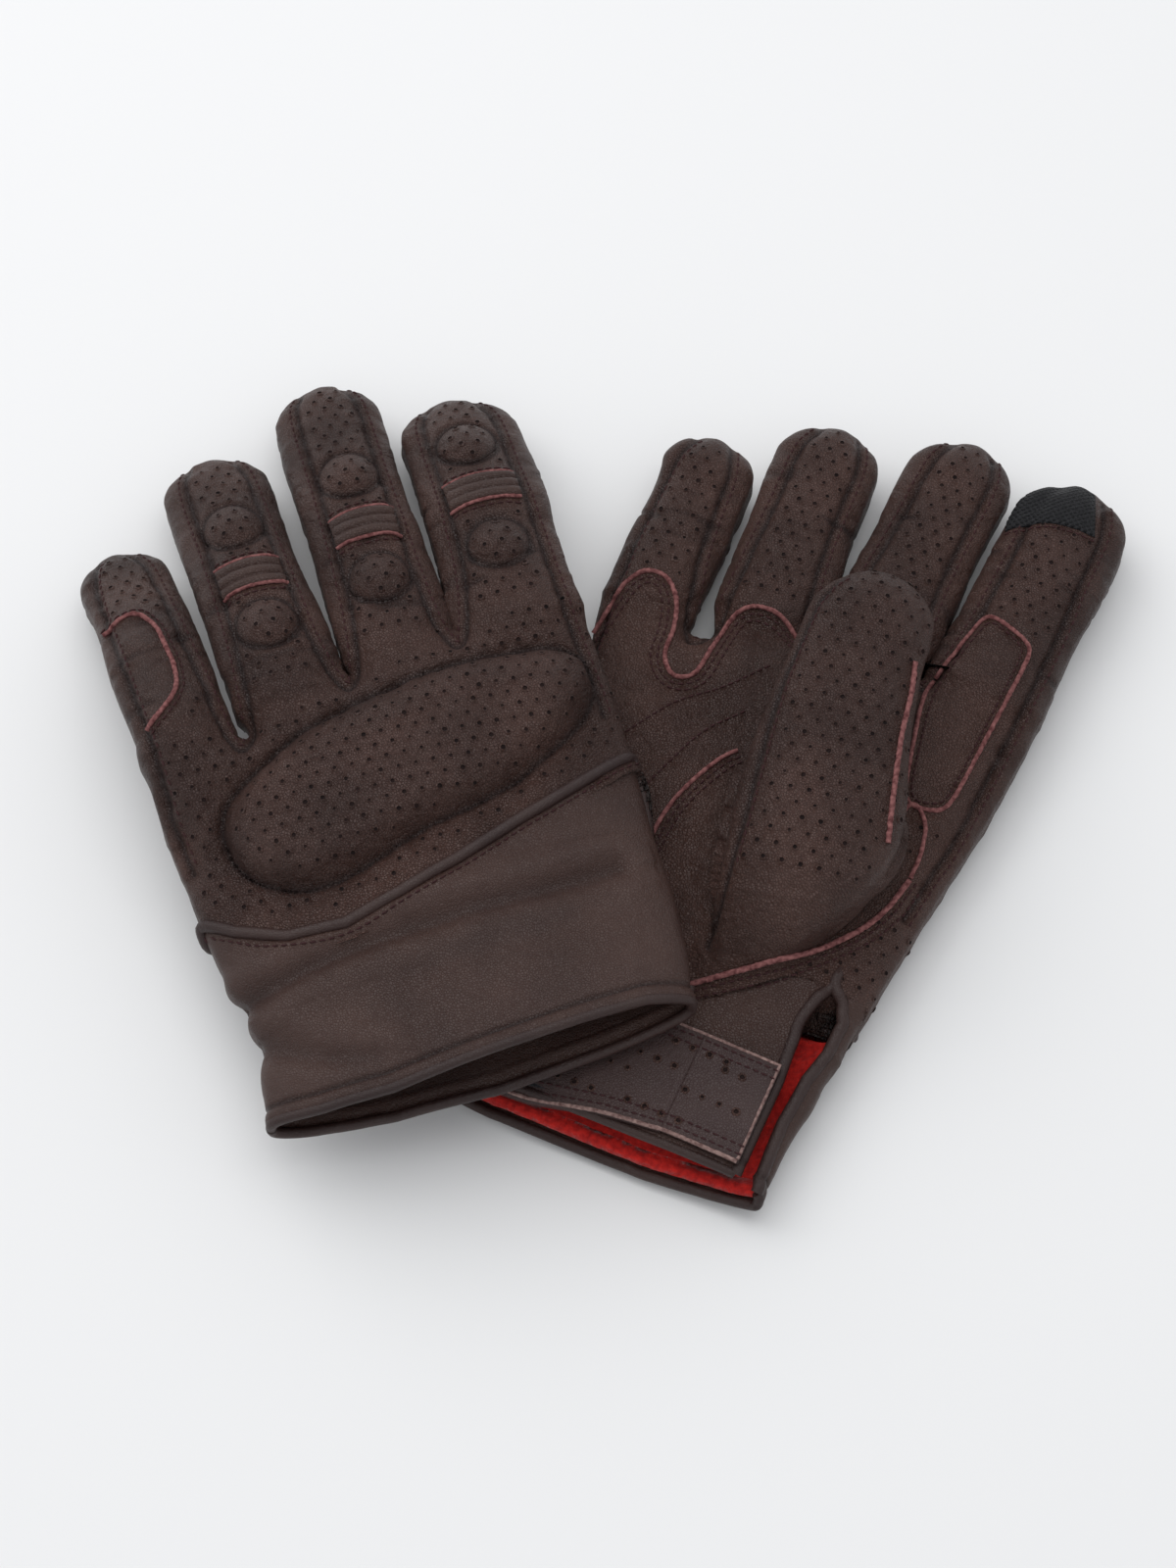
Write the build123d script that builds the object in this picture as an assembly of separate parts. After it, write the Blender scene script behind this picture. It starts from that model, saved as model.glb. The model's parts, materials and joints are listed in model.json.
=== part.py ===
from build123d import *
import math
import os

# A pair of perforated leather gloves with moulded knuckle guards, as they lie on a table.
# The left glove lies back up and the right glove lies palm up, partly under the left cuff.
# Each glove is built flat in its own frame: +X to the index side, +Y to the fingertips, and
# a third axis, W, from the back face (W = 0) to the palm face. It is then laid in place.

os.makedirs("parts", exist_ok=True)

# ---------------------------------------------------------------- driving sizes, mm and degrees
HAND_THICK = 17.0          # empty hand, back face to palm face
FINGER_THICK = 17.0
FINGER_ROUND = 7.0         # edge rounding of a finger's section
EDGE_BEVEL = 4.0           # bevel round the hand and the cuff
WALL = 1.7                 # leather and its backing
LINING = 0.8
GAP = 0.4                  # clearance between pieces that move past each other
SLIT = 0.6                 # opening between two finger parts on their back face

PIVOT_UP = 7.0             # hinge lines lie this far inside the palm face of a finger
KNUCKLE_BEND = 65.0
MIDDLE_BEND = 70.0
NOTCH_SPARE = 1.5          # extra angle cut from each side of a bend notch
STUB = 24.0                # how far a finger's root runs back into the hand

SEAM_AT = 53.0             # hand to cuff seam, where it crosses the glove's centre line
SEAM_ANGLE = 12.0
PIPING_R = 1.5
SEAM_PIPING = 92.0         # lengths of the rolled strips
HEM_PIPING = 84.0

PATCH_THICK = 1.0
PAD_R = 7.6
PAD_TALL = 2.4
BASE_PAD_AT = 9.0          # base pad centre, beyond the knuckle hinge
RIB_COUNT = 3
RIB_PITCH = 2.4
RIB_R = 1.0
RIB_BASE = 0.9
RIB_MARGIN = 4.0           # a rib panel is narrower than its finger by this on each side
TOUCH_THICK = 0.7
TOUCH_LONG = 15.0
SIDE_PANEL_THICK = 0.7

THUMB_WIDE = 33.0
THUMB_ROUND = 5.0
THUMB_LIFT = 60.0
THUMB_SWING = (-8.0, 20.0)
THUMB_ROOT = 21.0          # how far the thumb's sewn root runs back from its hinge
THUMB_CREST = 5.0          # the root's level top, before it slopes down to the palm

STRAP_LOW = 6.0            # strap edges along the glove
STRAP_HIGH = 33.0
STRAP_LEFT = -36.0
STRAP_FOLD = 20.0          # where the free tab starts
STRAP_END = 40.5
STRAP_THICK = 1.9
STRAP_OPEN = 80.0
HOOK_THICK = 0.8
LOOP_THICK = 0.8
HOOK_INSET = 3.0
VENT_X = 43.0
VENT_WIDE = 3.0
VENT_TOP = 56.0
PALM_HEM = 4.0             # the palm side of the cuff stops this far short of the back side

LIFT = 250.0               # the left glove can be picked straight up

NAMES = ("little", "ring", "middle", "index")
PADDED = ("ring", "middle", "index")

# One entry per finger: knuckle (x, y), lean clockwise from +Y, width, lengths of the base and
# tip parts along the glove, and the base part's droop towards the palm at rest. A tip pad's
# centre is tip_pad_at beyond the middle hinge.
RIGHT_HEIGHT = 3.0
BETWEEN = 4.0              # free height between the two hands
LEFT_HEIGHT = RIGHT_HEIGHT + HAND_THICK + BETWEEN + HAND_THICK
RIGHT = dict(
    name="right",
    at=(-4.0, -100.0),
    turn=24.0,
    palm_up=True,
    height=RIGHT_HEIGHT,
    outline=[(-50, 0), (-46, 35), (-48, 70), (-49, 118), (-52, 138), (-26, 136), (2, 146), (32, 147),
             (63, 139), (61, 113), (57, 84), (54, 60), (50, 30), (48, 0)],
    cuff_thick=12.4,
    guard_thick=3.0,
    tip_pad_at=13.5,
    fingers=dict(
        little=dict(root=(-41, 150), lean=-4.5, wide=24.0, base=20.0, tip=24.0, droop=0.0),
        ring=dict(root=(-13, 159), lean=-2.5, wide=27.0, base=24.0, tip=27.5, droop=0.0),
        middle=dict(root=(17, 164), lean=2.0, wide=27.5, base=27.0, tip=29.0, droop=0.0),
        index=dict(root=(48.3, 160), lean=1.5, wide=30.0, base=28.0, tip=31.0, droop=0.0),
    ),
    thumb=dict(root=(27.7, 79), lean=-11.5, long=75.0, thick=16.0, rise=5.5, clear=1.6),
    palm_patch=[(-15, 68), (-12, 73), (-12, 81), (-8, 97), (-3, 105), (-4, 144), (-17, 146), (-20, 130),
                (-24, 121), (-30, 126), (-34, 141), (-39, 145), (-45, 143), (-47, 135), (-47, 114),
                (-15, 114)],
    index_patch=[(44, 110), (52, 115), (54, 138), (52, 143), (38, 143), (37, 128)],
)
LEFT = dict(
    name="left",
    at=(-27.0, -92.0),
    turn=-13.0,
    palm_up=False,
    height=LEFT_HEIGHT,
    outline=[(-50, 0), (-47, 20), (-54, 45), (-60, 75), (-62, 96), (-38, 96), (-9.5, 107), (19.5, 111),
             (52, 115), (55, 85), (54, 50), (56, 28), (54, 0)],
    cuff_thick=16.5,
    guard_thick=6.0,
    tip_pad_at=19.5,
    fingers=dict(
        little=dict(root=(-51, 108), lean=-8.0, wide=23.5, base=25.0, tip=34.0, droop=14.0),
        ring=dict(root=(-24.5, 115), lean=-4.3, wide=27.5, base=26.0, tip=50.0, droop=11.0),
        middle=dict(root=(5, 122), lean=-1.5, wide=27.5, base=27.0, tip=58.0, droop=11.0),
        index=dict(root=(36, 125), lean=-0.5, wide=31.0, base=28.0, tip=41.5, droop=11.0),
    ),
    thumb=dict(root=(30, 76), lean=-55.0, long=52.0, thick=10.8, rise=0.0, clear=1.4),
    palm_patch=[(-42, 56), (-20, 56), (-22, 78), (-32, 92), (-36, 92), (-42, 84)],
    index_patch=[(38, 98), (46, 98), (46, 108), (38, 108)],
)
# The right palm is pressed flat where the left glove's thumb lies on it.
PRESSED = dict(edge=-16.0, height=6.0, low=50.0, high=112.0)
GUARD = [(-47, 70), (-42, 80), (-24, 93), (8, 102), (40, 102.5), (49, 97), (48, 86), (35, 74), (11, 63),
         (-14, 54), (-27, 52.5), (-42, 60)]
GUARD_ABOVE_SEAM = 4.0


# ---------------------------------------------------------------- shared shapes
def shape(points):
    return make_face(Polyline(*points, close=True))


def prism(points, low, high):
    """A closed outline stood up from W = low to W = high."""
    return extrude(shape(points), high - low).moved(Location((0, 0, low)))


def block(x0, x1, y0, y1, w0, w1):
    """A box between two corners."""
    centre = Location(((x0 + x1) / 2, (y0 + y1) / 2, (w0 + w1) / 2))
    return Box(x1 - x0, y1 - y0, w1 - w0).moved(centre)


def slab(glove, thick, inset):
    """The glove's outline as a bevelled slab, inset on every side by the same amount."""
    face = shape(glove["outline"])
    if inset:
        face = offset(face, -inset, kind=Kind.INTERSECTION)
    solid = extrude(face, thick - 2 * inset)
    flats = solid.faces().sort_by(Axis.Z)
    solid = chamfer(flats[0].edges() + flats[-1].edges(), EDGE_BEVEL - 0.8 * inset)
    return solid.moved(Location((0, 0, inset)))


def past_seam(shift, sign):
    """Everything beyond the hand to cuff seam (sign +1), or everything before it (sign -1)."""
    half = Box(400, 400, 200).moved(Location((0, 200 * sign, 0)))
    return half.moved(Location((0, SEAM_AT + shift, 0), (0, 0, SEAM_ANGLE)))


def bar(wide, thick, corner, start, end, inset):
    """A rounded bar along +Y, centred on X and W, with its section inset all round."""
    section = RectangleRounded(wide - 2 * inset, thick - 2 * inset, corner - inset)
    return extrude(Plane.XZ * section, -(end - start)).moved(Location((0, start, 0)))


def round_end(wide, end, inset):
    """A tall block that rounds off the far end of a finger in plan."""
    radius = wide / 2 - inset
    centre = end - wide / 2
    return block(-radius, radius, centre - 200, centre, -50, 50) + Cylinder(radius, 100).moved(
        Location((0, centre, 0)))


def hinge_side(sign, bend):
    """The room on one side of a hinge line: square at the back face, slanted at the palm."""
    reach = 60.0
    slant = reach * math.tan(math.radians(bend / 2 + NOTCH_SPARE))
    edge = SLIT / 2
    points = [(sign * edge, -reach), (sign * edge, 0), (sign * (edge + slant), reach),
              (sign * 250, reach), (sign * 250, -reach)]
    return extrude(Plane.YZ * shape(points), 100, both=True)


# ---------------------------------------------------------------- hinge frames
# In a finger's hinge frame X is the hinge line, Y runs along the finger and W goes to the palm.
PIVOT_W = FINGER_THICK - PIVOT_UP


def knuckle_frame(finger):
    x, y = finger["root"]
    return Location((x, y, PIVOT_W), (0, 0, -finger["lean"]))


def base_frame(finger):
    return knuckle_frame(finger) * Location((0, 0, 0), (finger["droop"], 0, 0))


def base_length(finger):
    return finger["base"] / math.cos(math.radians(finger["droop"]))


def tip_droop(glove, finger):
    """Slope of the tip part at rest: level, or down until its end meets the table."""
    if glove["palm_up"]:
        return 0.0
    knuckle_height = glove["height"] - PIVOT_W
    fall = knuckle_height - base_length(finger) * math.sin(math.radians(finger["droop"]))
    return math.degrees(math.atan2(fall - PIVOT_UP - GAP, finger["tip"]))


def tip_length(glove, finger):
    return finger["tip"] / math.cos(math.radians(tip_droop(glove, finger)))


def middle_turn(glove, finger):
    return tip_droop(glove, finger) - finger["droop"]


def middle_frame(glove, finger):
    at_hinge = base_frame(finger) * Location((0, base_length(finger), 0))
    return at_hinge * Location((0, 0, 0), (middle_turn(glove, finger), 0, 0))


def thumb_frame(glove):
    """The thumb's hinge: its top edge where it lifts, its centre where it swings."""
    thumb = glove["thumb"]
    x, y = thumb["root"]
    rise = thumb["thick"] if glove["palm_up"] else thumb["thick"] / 2
    flat = Location((x, y, HAND_THICK + thumb["clear"] + rise), (0, 0, -thumb["lean"]))
    return flat * Location((0, 0, 0), (thumb["rise"], 0, 0))


# ---------------------------------------------------------------- hand and cuff
def finger_bar(finger, start, end, inset):
    """A finger's bar in one of its hinge frames."""
    middle = Location((0, 0, FINGER_THICK / 2 - PIVOT_W))
    return bar(finger["wide"], FINGER_THICK, FINGER_ROUND, start, end, inset).moved(middle)


def thumb_bar(glove, start, end, inset):
    thumb = glove["thumb"]
    drop = -thumb["thick"] / 2 if glove["palm_up"] else 0.0
    return bar(THUMB_WIDE, thumb["thick"], THUMB_ROUND, start, end, inset).moved(Location((0, 0, drop)))


def thumb_root(glove, inset):
    """The thumb's sewn root, standing on the palm behind its hinge."""
    thumb = glove["thumb"]
    half = THUMB_WIDE / 2 - inset
    top = (0.0 if glove["palm_up"] else thumb["thick"] / 2) - inset
    foot = top - thumb["thick"] - thumb["clear"] - WALL - 2 * inset
    if glove["palm_up"]:
        front = STUB if inset else -GAP
        side = [(front, foot), (front, top), (-THUMB_CREST + inset / 2, top), (-THUMB_ROOT + 2 * inset, foot)]
        room = extrude(Plane.YZ * shape(side), half, both=True)
    else:
        back = -THUMB_WIDE / 2 - THUMB_ROOT / 2
        room = block(-half, half, back + inset, 0 if inset else -THUMB_WIDE / 4, foot, top)
        if not inset:
            room = room - Cylinder(THUMB_WIDE / 2 + GAP, 100)
    return room.moved(thumb_frame(glove)) & prism(glove["outline"], -50, 100)


def finger_stubs(glove, inset):
    """The roots of the four fingers, from inside the hand to their knuckle hinges."""
    stubs = []
    for name in NAMES:
        finger = glove["fingers"][name]
        stub = finger_bar(finger, -STUB, 20, inset)
        if not inset:
            stub = stub & hinge_side(-1, KNUCKLE_BEND + finger["droop"])
        stubs.append(stub.moved(knuckle_frame(finger)))
    return stubs


def pressed_room(inset):
    """What the left thumb's weight takes off the right palm."""
    low = PRESSED["low"] - inset
    high = PRESSED["high"] + inset
    return block(-100, PRESSED["edge"] + inset, low, high, PRESSED["height"] - inset, 60)


def hand(glove):
    outer = slab(glove, HAND_THICK, 0) & past_seam(0, 1)
    inner = slab(glove, HAND_THICK, WALL)
    if glove["palm_up"]:
        outer = outer - pressed_room(0)
        inner = inner - pressed_room(WALL)
    for stub in finger_stubs(glove, 0) + [thumb_root(glove, 0) & past_seam(0, 1)]:
        outer = outer + stub
    for stub in finger_stubs(glove, WALL) + [thumb_root(glove, WALL) & past_seam(WALL, 1)]:
        inner = inner + stub
    return outer - inner


def vent_room(margin):
    """The slit up the palm side of the cuff."""
    half = VENT_WIDE / 2 + margin
    return block(VENT_X - half, VENT_X + half, -10, VENT_TOP + margin, HAND_THICK / 3, 60)


def cuff(glove):
    thick = glove["cuff_thick"]
    inside = slab(glove, thick, WALL)
    mouth = inside.moved(Location((0, -2 * WALL, 0)))
    shell = (slab(glove, thick, 0) & past_seam(0, -1)) - inside - mouth
    palm_hem = block(-100, 100, -10, PALM_HEM, thick / 2, 60)
    return shell - palm_hem - vent_room(0)


def lining(glove):
    thick = glove["cuff_thick"]
    sleeve = slab(glove, thick, WALL) - slab(glove, thick, WALL + LINING)
    sleeve = sleeve & past_seam(-WALL, -1)
    ends = block(-100, 100, 2 * WALL + LINING, 100, -50, 60)
    return (sleeve & ends) - vent_room(GAP)


def guard(glove):
    """The moulded knuckle guard, bevelled, on the back of the hand."""
    solid = extrude(shape(GUARD), glove["guard_thick"])
    top = solid.faces().sort_by(Axis.Z)[-1]
    solid = chamfer(top.edges(), glove["guard_thick"] / 2)
    solid = solid & past_seam(GUARD_ABOVE_SEAM, 1)
    return mirror(solid, Plane.XY)


def half_round(length, radius):
    """A half-round strip along X, flat side on W = 0, standing towards the back face."""
    rod = Cylinder(radius, length, rotation=(0, 90, 0))
    return rod & block(-length, length, -radius, radius, -radius, 0)


def piping(glove):
    """Rolled strips on the back seam and on both hems, and binding beside the vent."""
    strip = half_round(SEAM_PIPING, PIPING_R).moved(Location((0, SEAM_AT, 0), (0, 0, SEAM_ANGLE)))
    hem = half_round(HEM_PIPING, PIPING_R).moved(Location((0, PIPING_R, 0)))
    palm = Location((0, PALM_HEM + PIPING_R, glove["cuff_thick"]), (180, 0, 0))
    palm_hem = half_round(HEM_PIPING, PIPING_R).moved(palm) - vent_room(GAP)
    palm_hem = palm_hem - block(-100, STRAP_END + GAP, STRAP_LOW - GAP, STRAP_HIGH, 0, 60)
    edge = VENT_X - VENT_WIDE / 2
    side = block(edge - PIPING_R / 2, edge, PALM_HEM + 2 * PIPING_R, VENT_TOP, 0, PIPING_R / 2)
    side = side.moved(Location((0, 0, glove["cuff_thick"])))
    return strip, hem, palm_hem, side, side.moved(Location((VENT_WIDE + PIPING_R / 2, 0, 0)))


# ---------------------------------------------------------------- fingers and thumb
def finger_base(glove, finger):
    length = base_length(finger)
    outer = finger_bar(finger, -STUB, length + STUB, 0)
    middle_bend = MIDDLE_BEND + middle_turn(glove, finger)
    far_side = hinge_side(-1, middle_bend).moved(Location((0, length, 0)))
    outer = outer & hinge_side(1, KNUCKLE_BEND + finger["droop"]) & far_side
    shell = outer - finger_bar(finger, -STUB, length + STUB, WALL)
    return shell.moved(base_frame(finger))


def finger_tip(glove, finger):
    end = tip_length(glove, finger)
    middle_bend = MIDDLE_BEND + middle_turn(glove, finger)
    outer = finger_bar(finger, -STUB, end, 0) & round_end(finger["wide"], end, 0)
    outer = outer & hinge_side(1, middle_bend)
    inner = finger_bar(finger, -STUB, end, WALL) & round_end(finger["wide"], end, WALL)
    return (outer - inner).moved(middle_frame(glove, finger))


def thumb(glove):
    long = glove["thumb"]["long"]
    outer = thumb_bar(glove, -THUMB_WIDE, long, 0) & round_end(THUMB_WIDE, long, 0)
    inner = thumb_bar(glove, -THUMB_WIDE, long, WALL) & round_end(THUMB_WIDE, long, WALL)
    if glove["palm_up"]:
        return (outer & block(-50, 50, 0, 200, -50, 50)) - inner
    heel = Cylinder(THUMB_WIDE / 2, 100) + block(-50, 50, 0, 200, -50, 50)
    return (outer & heel & block(-50, 50, -THUMB_WIDE / 3, 200, -50, 50)) - inner


# ---------------------------------------------------------------- pieces on the back
def pad(at_y):
    """A round pad standing on a finger's back face."""
    dome = Cylinder(PAD_R, PAD_TALL)
    dome = fillet(dome.edges().sort_by(Axis.Z)[0], PAD_TALL * 0.8)
    return dome.moved(Location((0, at_y, -PIVOT_W - PAD_TALL / 2)))


def base_pad(finger):
    return pad(BASE_PAD_AT).moved(base_frame(finger))


def tip_pad(glove, finger):
    return pad(glove["tip_pad_at"]).moved(middle_frame(glove, finger))


def rib_panel(finger):
    """A ribbed stretch panel over the middle hinge: fixed to the base part, free of the tip part."""
    half = finger["wide"] / 2 - RIB_MARGIN
    reach = RIB_PITCH * RIB_COUNT / 2 + RIB_R
    plate = block(-half, half, -reach, 0, -RIB_BASE, 0) + block(-half, half, 0, reach, -RIB_BASE, -GAP)
    for i in range(RIB_COUNT):
        y = RIB_PITCH * (i - (RIB_COUNT - 1) / 2)
        plate = plate + half_round(2 * half, RIB_R).moved(Location((0, y, -RIB_BASE)))
    at_hinge = Location((0, base_length(finger), -PIVOT_W))
    return plate.moved(base_frame(finger) * at_hinge)


def little_panel(glove):
    """The plain side panel on the little finger's back, within its base part."""
    finger = glove["fingers"]["little"]
    half = finger["wide"] / 2 - FINGER_ROUND + 1
    end = base_length(finger) - SLIT
    panel = block(-half, half, SLIT, end, -PIVOT_W - SIDE_PANEL_THICK, -PIVOT_W)
    return panel.moved(base_frame(finger))


# ---------------------------------------------------------------- pieces on the palm
def touch_tip(glove):
    """The woven touch pad on the palm side of the index fingertip."""
    finger = glove["fingers"]["index"]
    end = tip_length(glove, finger)
    half = finger["wide"] / 2 - FINGER_ROUND
    room = block(-half, half, end - TOUCH_LONG, end, PIVOT_UP, PIVOT_UP + TOUCH_THICK)
    return (room & round_end(finger["wide"], end, 0)).moved(middle_frame(glove, finger))


def palm_patches(glove, hand_solid):
    low = HAND_THICK
    high = HAND_THICK + PATCH_THICK
    patches = [prism(glove[name], low, high) - hand_solid for name in ("palm_patch", "index_patch")]
    return [patch & past_seam(PIPING_R, 1) for patch in patches]


def strap_piece(glove, left, right):
    """A length of the wrist strap, above the hook and loop layers on the cuff."""
    foot = glove["cuff_thick"] + LOOP_THICK + HOOK_THICK
    return block(left, right, STRAP_LOW, STRAP_HIGH, foot, foot + STRAP_THICK)


def strap_anchor(glove):
    """The strap's fixed end, with the sewn block that joins it to the cuff."""
    foot = glove["cuff_thick"]
    sewn = block(STRAP_LEFT, 0, STRAP_LOW, STRAP_HIGH, foot, foot + LOOP_THICK + HOOK_THICK)
    return strap_piece(glove, STRAP_LEFT, STRAP_FOLD) + sewn


def strap_tab(glove):
    return strap_piece(glove, STRAP_FOLD + GAP, STRAP_END)


def loop_patch(glove):
    foot = glove["cuff_thick"]
    low = STRAP_LOW + HOOK_INSET
    high = STRAP_HIGH - HOOK_INSET
    return block(2 * GAP, STRAP_END - HOOK_INSET, low, high, foot, foot + LOOP_THICK - GAP / 2)


def hook_patch(glove):
    foot = glove["cuff_thick"] + LOOP_THICK
    low = STRAP_LOW + HOOK_INSET
    high = STRAP_HIGH - HOOK_INSET
    return block(STRAP_FOLD + HOOK_INSET, STRAP_END - HOOK_INSET, low, high, foot + GAP / 2,
                 foot + HOOK_THICK)


# ---------------------------------------------------------------- both gloves, laid in place
def glove_frame(glove):
    return Location((glove["at"][0], glove["at"][1], glove["height"]), (0, 0, -glove["turn"]))


def lay(glove, solid):
    """Turn a solid from the glove's own frame to where the glove lies."""
    if not glove["palm_up"]:
        solid = mirror(solid, Plane.XY)
    return solid.moved(glove_frame(glove))


def glove_pieces(glove):
    """Every piece of one glove, by name, still in the glove's own frame."""
    whole = hand(glove)
    half = HAND_THICK / 2
    pieces = {
        "hand_back": whole & block(-200, 200, -50, 300, -50, half),
        "hand_palm": whole & block(-200, 200, -50, 300, half, 100),
        "knuckle_guard": guard(glove),
        "cuff": cuff(glove),
        "piping": piping(glove),
        "lining": lining(glove),
        "palm_patches": palm_patches(glove, whole),
        "thumb": thumb(glove).moved(thumb_frame(glove)),
        "touch_tip": touch_tip(glove),
        "little_panel": little_panel(glove),
    }
    if glove["palm_up"]:
        pieces["strap_anchor"] = strap_anchor(glove)
        pieces["strap_tab"] = strap_tab(glove)
        pieces["loop_patch"] = loop_patch(glove)
        pieces["hook_patch"] = hook_patch(glove)
    else:
        pieces["strap"] = strap_anchor(glove) + strap_piece(glove, STRAP_FOLD - GAP, STRAP_END)
        pieces["strap_fastener"] = [loop_patch(glove), hook_patch(glove)]
    for name in NAMES:
        finger = glove["fingers"][name]
        pieces[name + "_base"] = finger_base(glove, finger)
        pieces[name + "_tip"] = finger_tip(glove, finger)
    for name in PADDED:
        finger = glove["fingers"][name]
        pieces[name + "_base_pad"] = base_pad(finger)
        pieces[name + "_tip_pad"] = tip_pad(glove, finger)
        pieces[name + "_ribs"] = rib_panel(finger)
    return pieces


def solids_of(piece):
    """The separate solids of one shape or of a group of shapes."""
    group = piece if isinstance(piece, (list, tuple)) else [piece]
    return [solid for one in group for solid in one.solids()]


def build():
    """All pieces in place, with the origin at the middle of the base of their common box."""
    placed = {}
    for glove in (RIGHT, LEFT):
        for name, piece in glove_pieces(glove).items():
            placed[glove["name"] + "_" + name] = [lay(glove, solid) for solid in solids_of(piece)]
    box = Compound(children=[solid for group in placed.values() for solid in group]).bounding_box()
    middle = box.center()
    shift = Vector(-middle.X, -middle.Y, -box.min.Z)
    moved = {}
    for name, group in placed.items():
        moved[name] = Compound(children=[solid.moved(Location(shift)) for solid in group])
    return moved, shift


PIECES, SHIFT = build()
for node, piece in PIECES.items():
    export_step(piece, "parts/" + node + ".step")
    print(node, len(piece.solids()), "solids", round(piece.volume), "mm3")
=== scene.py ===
# %% [markdown]
# # A pair of perforated leather gloves
# The gloves lie on a table: the left one back up, the right one palm up with its thumb folded over.
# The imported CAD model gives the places: glove frames, hinge lines, lengths and widths. Everything
# that shows is built here as soft leather over those places, in metres in the same frame.

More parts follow.
